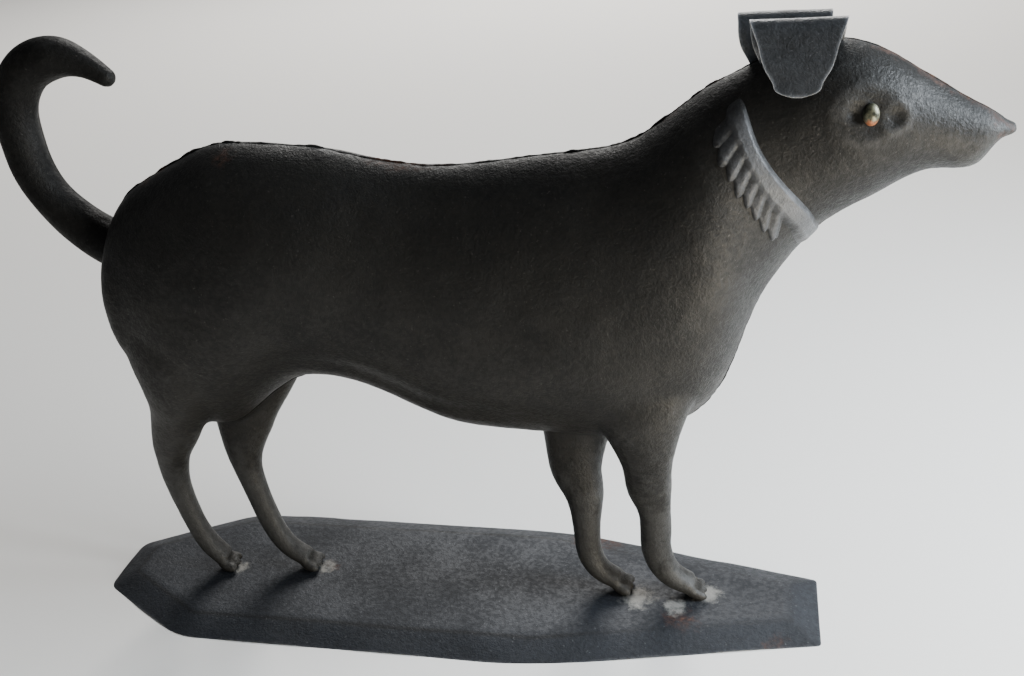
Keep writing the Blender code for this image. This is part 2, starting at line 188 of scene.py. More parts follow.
def sheetFaces(rows, columns):
    # a grid's upper side, the same grid below it, and the rim between the two
    size = rows * columns
    faces = gridFaces(rows, columns, False)
    faces += [face[::-1] for face in gridFaces(rows, columns, False, size)]
    rim = list(range(columns)) + [i * columns + columns - 1 for i in range(1, rows)]
    rim += [size - 1 - j for j in range(1, columns)] + [i * columns for i in range(rows - 2, 0, -1)]
    return faces + [[two, one, size + one, size + two] for one, two in zip(rim, rim[1:] + rim[:1])]


def closedTube(rings, startTip, endTip, first=0):
    # rings of points joined by faces, with a point closing each end
    rows, columns = rings.shape[:2]
    points = np.concatenate([rings.reshape(-1, 3), [startTip], [endTip]])
    faces = gridFaces(rows, columns, True, first)
    j = np.arange(columns)
    k = (j + 1) % columns
    top = first + rows * columns
    last = first + (rows - 1) * columns
    faces += np.stack([np.full(columns, top), first + k, first + j], axis=-1).tolist()
    faces += np.stack([np.full(columns, top + 1), last + j, last + k], axis=-1).tolist()
    return points, faces


def gathered(shapes):
    # several (points, faces) as one list of points and faces
    points, faces, first = [], [], 0
    for somePoints, someFaces in shapes:
        points.append(somePoints)
        faces += [[corner + first for corner in face] for face in someFaces]
        first += len(somePoints)
    return np.concatenate(points), faces


def makePiece(name, points, faces, smooth=40, wearAndPaintedLight=None):
    # closed mesh object with faces outward; the wear-and-painted-light value goes from 0 in hollows, painted
    # dark as shade, to 1 on edges, painted pale as rubbed wear and highlight
    mesh = bpy.data.meshes.new(name)
    mesh.from_pydata(np.asarray(points).tolist(), [], faces)
    shape = bmesh.new()
    shape.from_mesh(mesh)
    if wearAndPaintedLight is None:
        bmesh.ops.remove_doubles(shape, verts=shape.verts, dist=1e-7)
    bmesh.ops.recalc_face_normals(shape, faces=shape.faces)
    shape.to_mesh(mesh)
    shape.free()
    if wearAndPaintedLight is not None:
        setWorn(mesh, wearAndPaintedLight)
    piece = bpy.data.objects.new(name, mesh)
    bpy.context.scene.collection.objects.link(piece)
    mesh.shade_smooth()
    mesh.set_sharp_from_angle(angle=math.radians(smooth))
    return piece


def pointsOf(mesh):
    flat = np.empty(len(mesh.vertices) * 3)
    mesh.vertices.foreach_get("co", flat)
    return flat.reshape(-1, 3)


def normalsOf(mesh):
    flat = np.empty(len(mesh.vertices) * 3)
    mesh.vertex_normals.foreach_get("vector", flat)
    return flat.reshape(-1, 3)


def setPoints(mesh, points):
    mesh.vertices.foreach_set("co", points.astype(np.float32).ravel())
    mesh.update()


def setWorn(mesh, values):
    layer = mesh.attributes.new("wearAndPaintedLight", "FLOAT", "POINT")
    layer.data.foreach_set("value", np.clip(values, 0, 1).astype(np.float32).ravel())


def neighbourMiddles(points, one, two, count):
    # middle of the points that share an edge with each point
    middle = np.empty_like(points)
    for axis in range(3):
        total = np.bincount(one, points[two, axis], len(points))
        total += np.bincount(two, points[one, axis], len(points))
        middle[:, axis] = total / count
    return middle


def edgeEnds(mesh):
    ends = np.empty(len(mesh.edges) * 2, dtype=np.int64)
    mesh.edges.foreach_get("vertices", ends)
    one, two = ends.reshape(-1, 2).T
    size = len(mesh.vertices)
    return one, two, np.bincount(one, minlength=size) + np.bincount(two, minlength=size)


def relaxed(mesh, rounds, share):
    # each point moves by its share towards the middle of its neighbours, round after round
    one, two, count = edgeEnds(mesh)
    points = pointsOf(mesh)
    for _ in range(rounds):
        middle = neighbourMiddles(points, one, two, count)
        points = points + (middle - points) * np.reshape(share, (-1, 1))
    setPoints(mesh, points)


def bulge(mesh, rounds):
    # how far each point stands out of its neighbours' middle, evened out over some rounds
    one, two, count = edgeEnds(mesh)
    points, normals = pointsOf(mesh), normalsOf(mesh)
    out = np.sum((points - neighbourMiddles(points, one, two, count)) * normals, axis=1)
    for _ in range(rounds):
        near = np.bincount(one, out[two], len(out)) + np.bincount(two, out[one], len(out))
        out = out * 0.4 + near / count * 0.6
    return out


def fused(name, shapes, voxel):
    # several overlapping closed shapes as one skin, on a fine even net
    points, faces = gathered(shapes)
    rough = makePiece(name + "_rough", points, faces)
    net = rough.modifiers.new("net", "REMESH")
    net.mode = "VOXEL"
    net.voxel_size = voxel
    ready = rough.evaluated_get(bpy.context.evaluated_depsgraph_get())
    mesh = bpy.data.meshes.new_from_object(ready)
    mesh.name = name
    bpy.data.objects.remove(rough, do_unlink=True)
    piece = bpy.data.objects.new(name, mesh)
    bpy.context.scene.collection.objects.link(piece)
    mesh.shade_smooth()
    return piece


# dog: trunk, neck and head

skinValues = {
    "rumpEnd": (-208.5, 177),
    "noseEnd": (253.5, 269.7),
    # back (x, z), underside (x, z), half width
    "sections": (
        (-204.5, 205, -202.5, 154, 20),
        (-196.5, 231, -190, 130, 30),
        (-173, 250.4, -171, 106.5, 35.5),
        (-145, 263.3, -147, 106, 38),
        (-115, 268.3, -113, 132, 39),
        (-82, 266.3, -82, 136, 38),
        (-49, 259.3, -49, 124.7, 37),
        (-17, 255, -17, 110.3, 38),
        (17, 257.3, 17, 106.3, 40),
        (50, 261.5, 50, 104, 42),
        (78, 266, 87, 107, 43),
        (99, 278.5, 118.5, 129.2, 41),
        (113, 288.6, 133.3, 158, 37),
        (123, 294.5, 145.6, 190.3, 31),
        (133, 299.7, 163.5, 217.5, 26),
        (151, 307.5, 179.5, 231.5, 26),
        (173, 312.5, 193, 239.3, 26.5),
        (193, 307.5, 207, 248, 23),
        (213, 295.5, 221.5, 252.4, 17.5),
        (231, 284, 237.5, 254, 12.5),
        (243, 277, 242.5, 261.5, 9),
        (249.5, 273, 247.5, 266.2, 6.4),
        (252.3, 271.6, 251.6, 267.4, 4),
    ),
    "rings": 430,
    "ringPoints": 220,
    "spineRidge": 0.22,
    "bellyKeel": 0.35,
    "voxel": 0.001624,
    "smoothRounds": 3,
    "smoothShare": 0.5,
}

bellyValues = {"middle": -35, "run": 62, "level": -0.74, "band": 0.13, "tuck": 0.13}
socketValues = {"middle": (186.5, 283), "half": (10, 8), "depth": 2.3, "ring": 0.55, "ringAt": 1.55}


def sectionTable():
    rump, nose = skinValues["rumpEnd"], skinValues["noseEnd"]
    rows = np.array(((*rump, *rump, 0), *skinValues["sections"], (*nose, *nose, 0)), float)
    return runLengths((rows[:, 0:2] + rows[:, 2:4]) / 2), rows


bodyKnots, bodyRows = sectionTable()


def skinPoints(along, turn):
    # a section spans from the spine to the belly line; its height follows the cosine and its
    # width a power of the sine of the angle from the spine, which draws both seams to a ridge
    read = smoothThrough(bodyKnots, bodyRows, along)
    top, bottom, width = read[..., 0:2], read[..., 2:4], np.maximum(read[..., 4], 0)
    level, across = np.cos(turn), np.sin(turn)
    sharpness = 1 + skinValues["spineRidge"] * np.maximum(level, 0) ** 2
    sharpness = sharpness + skinValues["bellyKeel"] * np.maximum(-level, 0) ** 2
    side = np.sign(across) * np.abs(across) ** sharpness
    middle, reach = (top + bottom) / 2, (top - bottom) / 2
    x = middle[..., 0] + reach[..., 0] * level
    y = width * side
    z = middle[..., 1] + reach[..., 1] * level
    crease = np.exp(-(((x - bellyValues["middle"]) / bellyValues["run"]) ** 4))
    crease = crease * np.exp(-(((level - bellyValues["level"]) / bellyValues["band"]) ** 2))
    y = y * (1 - bellyValues["tuck"] * crease)
    apart = ((x - socketValues["middle"][0]) / socketValues["half"][0]) ** 2
    apart = np.sqrt(apart + ((z - socketValues["middle"][1]) / socketValues["half"][1]) ** 2)
    hollow = socketValues["depth"] * np.exp(-(apart**2))
    lip = socketValues["ring"] * np.exp(-(((apart - socketValues["ringAt"]) / 0.3) ** 2))
    y = y - np.sign(across) * (hollow - lip)
    return np.stack([x, y, z], axis=-1)


def skinNormals(along, turn):
    # cross product of the two slopes of the skin, turned away from the section's middle
    ahead = skinPoints(along + 0.4, turn) - skinPoints(along - 0.4, turn)
    aside = skinPoints(along, turn + 0.01) - skinPoints(along, turn - 0.01)
    normal = np.cross(ahead, aside)
    middle = (skinPoints(along, turn * 0) + skinPoints(along, turn * 0 + np.pi)) / 2
    outward = np.sum(normal * (skinPoints(along, turn) - middle), axis=-1, keepdims=True)
    normal = normal * np.where(outward < 0, -1, 1)
    return normal / np.maximum(np.linalg.norm(normal, axis=-1, keepdims=True), 1e-9)


def wornSkin(along, turn, lift):
    # a place on the dented skin, raised by a height along its normal
    skin, normal = skinPoints(along, turn), skinNormals(along, turn)
    height = lift + dentDepth(toMetres(skin)) / formUnit
    return skin + normal * height[..., None]


def trunkShape():
    share = np.linspace(0, 1, skinValues["rings"] + 2)[1:-1]
    share = share - np.sin(2 * np.pi * share) * 0.05  # rings close up at both ends
    along = share * bodyKnots[-1]
    turn = np.arange(skinValues["ringPoints"]) * 2 * np.pi / skinValues["ringPoints"]
    rings = skinPoints(*np.meshgrid(along, turn, indexing="ij"))
    rump, nose = skinValues["rumpEnd"], skinValues["noseEnd"]
    return closedTube(toMetres(rings), toMetres((rump[0], 0, rump[1])), toMetres((nose[0], 0, nose[1])))


# dog: legs, feet and toes

legValues = {
    "lines": {  # x, y, z, half thickness fore and aft, half thickness across
        "hindRight": (
            (-169, -17, 178, 30, 16),
            (-170.8, -18, 143, 24.8, 17),
            (-177.2, -15, 118, 17.1, 13),
            (-184.4, -12, 101, 14.4, 11),
            (-190, -10, 87, 11.3, 9.5),
            (-192.7, -8, 73, 8.7, 8),
            (-192.7, -7, 59, 6.9, 6.8),
            (-190.8, -6, 45, 6, 6),
            (-188, -5, 31, 5.9, 6),
            (-183.4, -4, 18, 6, 6.8),
            (-175.2, -2.8, 6.8, 5, 7.6),
        ),
        "hindLeft": (
            (-142, 17, 178, 33, 16),
            (-140, 18, 143, 29, 17),
            (-148.7, 15, 116, 23.7, 13),
            (-152.9, 12, 96, 17.6, 11),
            (-155.3, 10, 79, 12.3, 9.5),
            (-154.3, 8.5, 65, 8.6, 8),
            (-150.5, 7, 50, 6.7, 6.8),
            (-146.2, 5.5, 36, 6.4, 6.3),
            (-140.5, 4, 22, 6.2, 6.5),
            (-132.5, 3, 12, 5.6, 7),
            (-123.2, 3, 6.2, 4.6, 7.6),
        ),
        "foreLeft": (
            (56, 18, 160, 26, 14),
            (49.3, 19, 125, 24, 15),
            (44.6, 14, 88, 18.1, 12),
            (45.2, 11, 74, 15.5, 11),
            (48.8, 9, 61, 12, 10),
            (49.8, 7, 48, 8.9, 8.5),
            (50.3, 5, 34, 7.4, 7.2),
            (52, 4, 20, 7.2, 7.2),
            (59, 2.5, 10, 6, 7.6),
            (68.5, 1.5, 6, 4.6, 8),
        ),
        "foreRight": (
            (92, -18, 165, 27, 14),
            (85.5, -20, 130, 23.3, 15),
            (86.9, -15, 101, 15.4, 12),
            (87.3, -12, 88, 13.3, 11),
            (87.9, -9, 75, 12.5, 9.5),
            (89.8, -6, 62, 9.5, 8.5),
            (90.3, -4, 48, 8.4, 7.8),
            (90.1, -2.5, 36, 8, 7.4),
            (92.3, -1, 23, 8, 7.4),
            (99.5, 0, 12, 6.8, 8),
            (110, 1, 6.2, 5, 8.6),
        ),
    },
    "ringGap": 1.6,
    "ringPoints": 44,
    "capShare": 0.5,
    "toeHalf": (6.8, 3.2, 3.5),
    "toeReach": 2.2,
    "toePitch": 4.4,
    "toeSpread": 17,
    "toeDip": 0.18,
    "toeRest": 0.75,
    "filletRadius": 30,
    "filletRounds": 26,
    "filletShare": 0.6,
    "filletOut": 1.25,  # how much further to the side a fillet's middle lies than the leg's
}


def sweptShape(line, ringGap, ringPoints, capShare, relief=None, roundEnd=0):
    # elliptical rings square to a smooth centre line; over the round end the radius follows
    # the square root of 1 - t^2
    line = np.asarray(line, float)
    knots = runLengths(line[:, 0:3])
    places = np.linspace(0, knots[-1], round(knots[-1] / ringGap))
    if roundEnd:
        closing = knots[-1] - roundEnd * np.linspace(1, 0.02, 14) ** 2
        places = np.concatenate([places[places < knots[-1] - roundEnd], closing])
    read = smoothThrough(knots, line, places)
    if roundEnd:
        inside = np.clip(1 - (knots[-1] - places) / roundEnd, 0, 1)
        read[:, 3:] *= np.sqrt(1 - inside**2)[:, None]
    centre = read[:, 0:3]
    ahead = np.gradient(centre, axis=0)
    ahead = ahead / np.linalg.norm(ahead, axis=1)[:, None]
    across = np.array([0.0, 1.0, 0.0]) - ahead * ahead[:, 1:2]
    across = across / np.linalg.norm(across, axis=1)[:, None]
    fore = np.cross(across, ahead)
    turn = (np.arange(ringPoints) * 2 * np.pi / ringPoints)[None, :, None]
    out = np.cos(turn) * fore[:, None, :] * read[:, None, 3:4]
    out = out + np.sin(turn) * across[:, None, :] * read[:, None, -1:]
    if relief is not None:
        grown = relief(places[:, None], turn[..., 0])[..., None]
        out = out * (1 + grown / np.linalg.norm(out, axis=-1)[..., None])
    start = centre[0] - ahead[0] * line[0, 3] * capShare
    end = centre[-1] + ahead[-1] * line[-1, 3] * (0.01 if roundEnd else capShare)
    return closedTube(toMetres(centre[:, None, :] + out), toMetres(start), toMetres(end))


def grainShape(centre, forward, halves, rows=18, columns=20):
    # a long rounded grain: circles whose radius follows the square root of 1 - t^2
    forward = forward / np.linalg.norm(forward)
    across = np.cross([0.0, 0.0, 1.0], forward)
    across = across / np.linalg.norm(across)
    up = np.cross(forward, across)
    share = np.sin(np.linspace(-np.pi / 2, np.pi / 2, rows + 2)[1:-1])[:, None, None]
    turn = (np.arange(columns) * 2 * np.pi / columns)[None, :, None]
    thin = np.sqrt(1 - share**2)
    rings = centre + forward * share * halves[0]
    rings = rings + across * np.cos(turn) * thin * halves[1] + up * np.sin(turn) * thin * halves[2]
    startTip, endTip = (toMetres(centre + forward * halves[0] * end) for end in (-1, 1))
    return closedTube(toMetres(rings), startTip, endTip)


def footShapes(line):
    # three toes fanned out from the end of a leg
    foot, before = np.array(line[-1][0:3], float), np.array(line[-2][0:3], float)
    heading = math.atan2(foot[1] - before[1], foot[0] - before[0])
    side = np.array([-math.sin(heading), math.cos(heading), 0.0])
    toes = []
    for number in (-1, 0, 1):
        turned = heading + math.radians(legValues["toeSpread"]) * number
        forward = np.array([math.cos(turned), math.sin(turned), -legValues["toeDip"]])
        centre = foot + forward * legValues["toeReach"] + side * legValues["toePitch"] * number
        centre[2] = legValues["toeHalf"][2] * legValues["toeRest"]
        toes.append(grainShape(centre, forward, legValues["toeHalf"]))
    return toes


dentValues = {
    "swell": (0.045, 0.0008),  # cell and height of the slow waves, in metres
    "ripple": (0.013, 0.0003),
    "marks": (0.010, 0.00025),  # cell and depth of the hammer marks
    "eyeDents": (  # x, z, radius, depth
        (0.1815, 0.2915, 0.0032, 0.0013),
        (0.1985, 0.2885, 0.0036, 0.0011),
    ),
    "dentLip": (0.35, 1.7, 0.45),  # height in depths, place in radii, and width
    "calmEye": (0.1875, 0.2903, 0.016),  # x, z and radius where the head stays smooth
    "calmFeet": (0.02, 0.05),  # heights between which the dents fade in
    "calmShare": 0.25,
}


def dentDepth(points):
    # slow waves, ripples and shallow round hammer marks, less of them at the eyes and feet,
    # and on either side of each eye a small round dent with a lip
    depth = softNoise(points, dentValues["swell"][0], 11) * dentValues["swell"][1]
    depth += softNoise(points, dentValues["ripple"][0], 12) * dentValues["ripple"][1]
    near = np.clip(hammerMarks(points, dentValues["marks"][0], 13), 0, 1)
    depth += (near**2 - 0.5) * dentValues["marks"][1]
    x, z, radius = dentValues["calmEye"]
    low, high = dentValues["calmFeet"]
    eyes = eased(np.hypot(points[..., 0] - x, points[..., 2] - z) / radius - 0.6)
    feet = eased((points[..., 2] - low) / (high - low))
    calm = dentValues["calmShare"]
    depth = depth * (calm + (1 - calm) * eyes) * (calm + (1 - calm) * feet)
    share, place, width = dentValues["dentLip"]
    for x, z, radius, deep in dentValues["eyeDents"]:
        apart = np.hypot(points[..., 0] - x, points[..., 2] - z) / radius
        depth = depth - deep * np.exp(-(apart**2))
        depth = depth + share * deep * np.exp(-(((apart - place) / width) ** 2))
    return depth


def makeDogBody():
    # trunk, legs and toes fused, smoothed where the legs join, dented, and level at the soles
    shapes = [trunkShape()]
    for line in legValues["lines"].values():
        shapes.append(sweptShape(line, legValues["ringGap"], legValues["ringPoints"], legValues["capShare"]))
        shapes += footShapes(line)
    body = fused("dogBody", shapes, skinValues["voxel"])
    mesh = body.data
    relaxed(mesh, skinValues["smoothRounds"], skinValues["smoothShare"])
    points = pointsOf(mesh)
    share = np.zeros(len(points))
    for line in legValues["lines"].values():
        for row in line[1:3]:
            middle = toMetres(np.array(row[0:3]) * (1, legValues["filletOut"], 1))
            apart = np.linalg.norm(points - middle, axis=1) / (legValues["filletRadius"] * formUnit)
            share = np.maximum(share, legValues["filletShare"] * (1 - eased(apart)))
    relaxed(mesh, legValues["filletRounds"], share)
    points, normals = pointsOf(mesh), normalsOf(mesh)
    points = points + normals * dentDepth(points)[:, None]
    points[:, 2] = np.maximum(points[:, 2], soleLevel)
    setPoints(mesh, points)
    # ridges get a high value and are painted as rubbed wear; hollows and creases get a low one and are
    # painted dark as shade
    setWorn(mesh, 0.5 + bulge(mesh, 6) * bulgeToWorn)
    return body


dogBody = makeDogBody()
print("dog body:", len(dogBody.data.polygons), "faces")


# collar with its pleats

collarValues = {
    "row": 14,  # the section that the places are measured from
    "fan": (40, 130),  # degrees from the spine: the band's upper and lower end
    "bodyEdge": (-1, 19),  # place of the body's side at the upper end, and its drift
    "headEdge": (17.5, 12),
    "headTurn": (60, 140),
    "nape": (30, 54),  # degrees over which the collar rises out of the nape
    "throat": (140, 180),
    "throatShare": 0.5,
    "height": 3.1,
    "rise": (-0.12, 0.5),  # shares of the band's width: where it starts to rise, and over how much
    "fall": (1.03, 0.22, 0.6),  # where it ends, over how much it falls, and the power
    "dome": (0.35, 2.5),  # how much lower its two sides are, and the power
    "pleats": 8,
    "pleatSizes": (0.8, 1.12),  # from the smallest to the largest, drawn for each pleat
    "pleatReaches": (0.9, 1.1),
    "pleatFan": (48, 122),
    "longest": 15.5,
    "shortest": 6.5,
    "taper": 1.6,
    "lean": (52, 115, 9),  # degrees between which it grows, and its end value
    "pleatHeight": 2.2,
    "crest": 0.12,  # place of a pleat's ridge, from -0.5 to 0.5 of its width
    "valley": 0.62,  # height between two ridges, as a share of the ridge's
    "scallop": 0.24,  # how much shorter a pleat is between two ridges
    "sunk": 0.5,  # how far the strip lies under the skin where nothing is raised
    "thickness": 1.6,
    "around": 600,
    "across": 70,
    "seed": 61,
}


def collarEdges(degrees):
    # both edges drift ahead along the body from the nape towards the throat
    first = bodyKnots[collarValues["row"]]
    start, end = collarValues["fan"]
    place, drift = collarValues["bodyEdge"]
    bodyEdge = first + place + drift * np.clip((degrees - start) / (end - start), 0, 1)
    start, end = collarValues["headTurn"]
    place, drift = collarValues["headEdge"]
    return bodyEdge, first + place + drift * eased((degrees - start) / (end - start))


def collarShape():
    # a strip round the neck, nape to nape; across it a share runs from the pleats' outer ends
    # to the head's side. A pleat rises as a sine to a ridge off its middle and closes at its
    # end as the square root of 1 - t^2; the band is a dome that falls off sharply. Where both
    # are raised the height is the cube root of the sum of their cubes
    values = collarValues
    around = np.linspace(values["nape"][0], 360 - values["nape"][0], values["around"])[:, None]
    degrees = 180 - np.abs(180 - around)
    bodyEdge, headEdge = collarEdges(degrees)
    first, last = values["pleatFan"]
    step = (last - first) / (values["pleats"] - 1)
    share = np.clip((degrees - first) / (last - first), 0, 1)
    length = values["shortest"] + (values["longest"] - values["shortest"]) * (1 - share) ** values["taper"]
    beyond = eased((degrees - last - step * 0.5) / (step * 2))
    back = bodyEdge - length * (1.12 - 0.9 * beyond)
    along = back + (headEdge + 0.8 - back) * np.linspace(0, 1, values["across"])[None, :]

    inBand = (along - bodyEdge) / (headEdge - bodyEdge)
    low, rise = values["rise"]
    high, fall, power = values["fall"]
    band = eased((inBand - low) / rise) * eased((high - inBand) / fall) ** power
    lower, power = values["dome"]
    dome = 1 - lower * np.abs(2 * np.clip(inBand, 0, 1) - 1) ** power
    band = values["height"] * band * dome

    random = np.random.default_rng(values["seed"])
    sizes = random.uniform(*values["pleatSizes"], (2, values["pleats"]))
    reaches = random.uniform(*values["pleatReaches"], (2, values["pleats"]))
    outward = (bodyEdge - along) / length
    start, end, most = values["lean"]
    lean = most * np.clip((degrees - start) / (end - start), 0, 1)
    place = (degrees + lean * (1 - np.clip(outward, -0.5, 1)) - first) / step
    number = np.clip(np.round(place), 0, values["pleats"] - 1).astype(int)
    off = place - number
    hand = np.broadcast_to((around > 180).astype(int), along.shape)
    crest = values["crest"]
    ridge = np.where(off < crest, (off + 0.5) / (0.5 + crest), (0.5 - off) / (0.5 - crest))
    ridge = np.clip(ridge, 0, 1)
    ridge = np.sin(ridge * np.pi / 2) ** 1.3
    reach = outward / (reaches[hand, number] * (1 - values["scallop"] * (1 - ridge)))
    reach = np.clip((reach - 0.7) / 0.3, 0, 1)
    ends = 1 - eased((np.abs(off) - 0.5) / 0.4)
    pleat = values["valley"] + (1 - values["valley"]) * ridge
    pleat = values["pleatHeight"] * sizes[hand, number] * pleat
    pleat = pleat * ends * np.sqrt(1 - reach**2) * (1 - 0.3 * np.clip(outward, 0, 1))
    pleat = pleat * eased((0.7 - inBand) / 0.5)

    height = (band**3 + pleat**3) ** (1 / 3)
    start, end = values["nape"]
    height = height * eased((degrees - start) / (end - start))
    start, end = values["throat"]
    height = height * (1 - (1 - values["throatShare"]) * eased((degrees - start) / (end - start)))
    turn = np.radians(np.broadcast_to(around, along.shape))
    upper = wornSkin(along, turn, height - values["sunk"])
    lower = wornSkin(along, turn, np.full(along.shape, -values["sunk"] - values["thickness"]))
    points = toMetres(np.concatenate([upper.reshape(-1, 3), lower.reshape(-1, 3)]))
    # the value grows with height: the raised band and the pleat crests are painted pale as a highlight, the
    # valleys between pleats and the hidden underside dark as painted shade
    wearAndPaintedLight = 0.35 + 0.55 * height / values["height"]
    return points, sheetFaces(*along.shape), np.concatenate([wearAndPaintedLight.ravel(), wearAndPaintedLight.ravel() * 0])


def makeCollar():
    points, faces, wearAndPaintedLight = collarShape()
    return makePiece("pleatedCollar", points, faces, smooth=70, wearAndPaintedLight=wearAndPaintedLight)


pleatedCollar = makeCollar()
print("collar:", len(pleatedCollar.data.polygons), "faces")


# seams: a ragged bead along the back and a finer one under the belly and throat

seamValues = {
    "step": 0.7,
    "points": 12,
    "drift": 0.5,
    "spine": {"span": (0.035, 0.985), "turn": 0.0, "half": 1.1, "height": 0.35, "ragged": 0.55, "seed": 21},
    "belly": {"span": (0.07, 0.955), "turn": math.pi, "half": 0.8, "height": 0.5, "ragged": 0.3, "seed": 22},
    "coarseCell": 9,  # sizes of the noises that the bead follows, in millimetres
    "middleCell": 3.1,
    "fineCell": 1.7,
    "widthCell": 5,
    "driftCell": 14,
    "fade": 12,  # length over which each end thins out
    "sunk": 0.3,
    "headFrom": 0.66,  # share of the body's length from which the spine's seam thins out
    "headShare": 0.35,
}


def seamShape(values):
    # an ellipse carried along the seam, whose width and height follow noises, and which is
    # lower over the head
    along = np.arange(*values["span"], seamValues["step"] / bodyKnots[-1]) * bodyKnots[-1]
    turn = np.full(len(along), values["turn"])
    line, up = wornSkin(along, turn, np.zeros(len(along))), skinNormals(along, turn)
    across = np.array([[0.0, 1.0, 0.0]])
    marks = np.stack([along, along * 0, along * 0], axis=-1)
    coarse = softNoise(marks, seamValues["coarseCell"], values["seed"])
    coarse = coarse + 0.6 * softNoise(marks, seamValues["middleCell"], values["seed"] + 5)
    fine = softNoise(marks, seamValues["fineCell"], values["seed"] + 9)
    height = values["height"] + values["ragged"] * np.clip(coarse, -0.5, 1.2) + 0.15 * fine
    half = values["half"] * (1 + 0.35 * softNoise(marks, seamValues["widthCell"], values["seed"] + 3))
    fade = eased((along - along[0]) / seamValues["fade"]) * eased((along[-1] - along) / seamValues["fade"])
    head = eased((along / bodyKnots[-1] - seamValues["headFrom"]) / 0.1)
    height = height * fade * (1 - (1 - seamValues["headShare"]) * head)
    half = half * (0.3 + 0.7 * fade) * (1 - 0.3 * head)
    height = np.maximum(height + seamValues["sunk"], 0.15)[:, None, None]
    drift = seamValues["drift"] * softNoise(marks, seamValues["driftCell"], values["seed"] + 1)[:, None]
    centre = line + across * drift - up * seamValues["sunk"]
    angle = (np.arange(seamValues["points"]) * 2 * np.pi / seamValues["points"])[None, :, None]
    rings = centre[:, None, :] + across[:, None, :] * np.cos(angle) * half[:, None, None]
    rings = rings + up[:, None, :] * np.sin(angle) * height
    points, faces = closedTube(toMetres(rings), toMetres(centre[0]), toMetres(centre[-1]))
    wearAndPaintedLight = np.broadcast_to(0.5 + 0.5 * np.sin(angle[..., 0]), rings.shape[:2])
    return points, faces, np.concatenate([wearAndPaintedLight.ravel(), [0.5, 0.5]])


def makeSeam(name, values):
    points, faces, wearAndPaintedLight = seamShape(values)
    return makePiece(name, points, faces, smooth=70, wearAndPaintedLight=wearAndPaintedLight)


spineSeam = makeSeam("spineSeam", seamValues["spine"])
bellySeam = makeSeam("bellySeam", seamValues["belly"])
print("seams done")


# tail

tailValues = {
    "line": (
        (-190, 0, 207, 12.6),
        (-199, 0, 211, 12.8),
        (-212, 0, 218.6, 12.3),
        (-224, 0, 229, 11.6),
        (-234, 0, 242, 11.0),
        (-240, 0, 257, 11.2),
        (-241.7, 0, 272, 11.4),
        (-241.4, 0, 286, 11.6),
        (-237, 0, 298, 11.7),
        (-228.5, 0, 308, 12.0),
        (-218, 0, 313.2, 11.6),
        (-209, 0, 314.2, 10.4),
        (-200, 0, 312, 8.2),
        (-191.5, 0, 307.8, 6.3),
        (-184, 0, 302.6, 4.9),
        (-180.8, 0, 300.3, 4.3),
    ),
    "roundEnd": 4.0,
    "ringGap": 0.9,
    "ringPoints": 72,
    "capShare": 0.55,
    "seamHeight": 0.8,
    "seamWidth": 0.13,
    "dents": 0.28,
    "sunk": 0.15,
}


def tailRelief(along, turn):
    # a raised seam on the outside of the bend, and slow dents from the hammer
    apart = np.abs((turn + np.pi) % (2 * np.pi) - np.pi)
    marks = np.stack(np.broadcast_arrays(along / 8, turn * 0, turn * 0 + 3), axis=-1)
    seam = tailValues["seamHeight"] * (0.5 + 0.5 * softNoise(marks, 1.0, 31))
    seam = seam * np.exp(-((apart / tailValues["seamWidth"]) ** 2))
    wave = np.stack(np.broadcast_arrays(along / 17, np.cos(turn) * 1.2, np.sin(turn) * 1.2), axis=-1)
    return seam + tailValues["dents"] * softNoise(wave, 1.0, 32) - tailValues["sunk"]


def makeTail():
    line = [(x, y, z, r, r) for x, y, z, r in tailValues["line"]]
    gap, around = tailValues["ringGap"], tailValues["ringPoints"]
    shape = sweptShape(line, gap, around, tailValues["capShare"], tailRelief, tailValues["roundEnd"])
    tail = makePiece("rolledTail", *shape)
    # ridges get a high value and are painted as rubbed wear; hollows get a low one and are painted dark as
    # shade
    setWorn(tail.data, 0.5 + bulge(tail.data, 4) * bulgeToWorn)
    return tail


rolledTail = makeTail()
print("tail done")


# ears

earValues = {
    "line": (  # y, z, half width along the dog
        (3.0, 291, 10.3),
        (3.1, 297, 13.2),
        (3.2, 303, 16.2),
        (3.4, 308.5, 19.0),
        (3.7, 313, 20.2),
        (4.6, 318, 20.6),
        (6.7, 320.8, 20.6),
        (10.0, 321.8, 20.6),
        (14.0, 319.2, 19.6),
        (18.5, 311.5, 16.8),
        (22.8, 303.5, 14.0),
        (26.0, 297, 10.4),
        (27.8, 293.2, 5.8),
        (28.2, 292.2, 2.0),
    ),
    "sheet": 1.2,
    "rows": 110,
    "columns": 56,
    "rightPlace": 156.5,
    "leftPlace": 151,
    "ripple": 0.3,
    "wornWidth": 0.9,
    "edgeRounding": 0.0004,  # in metres
}


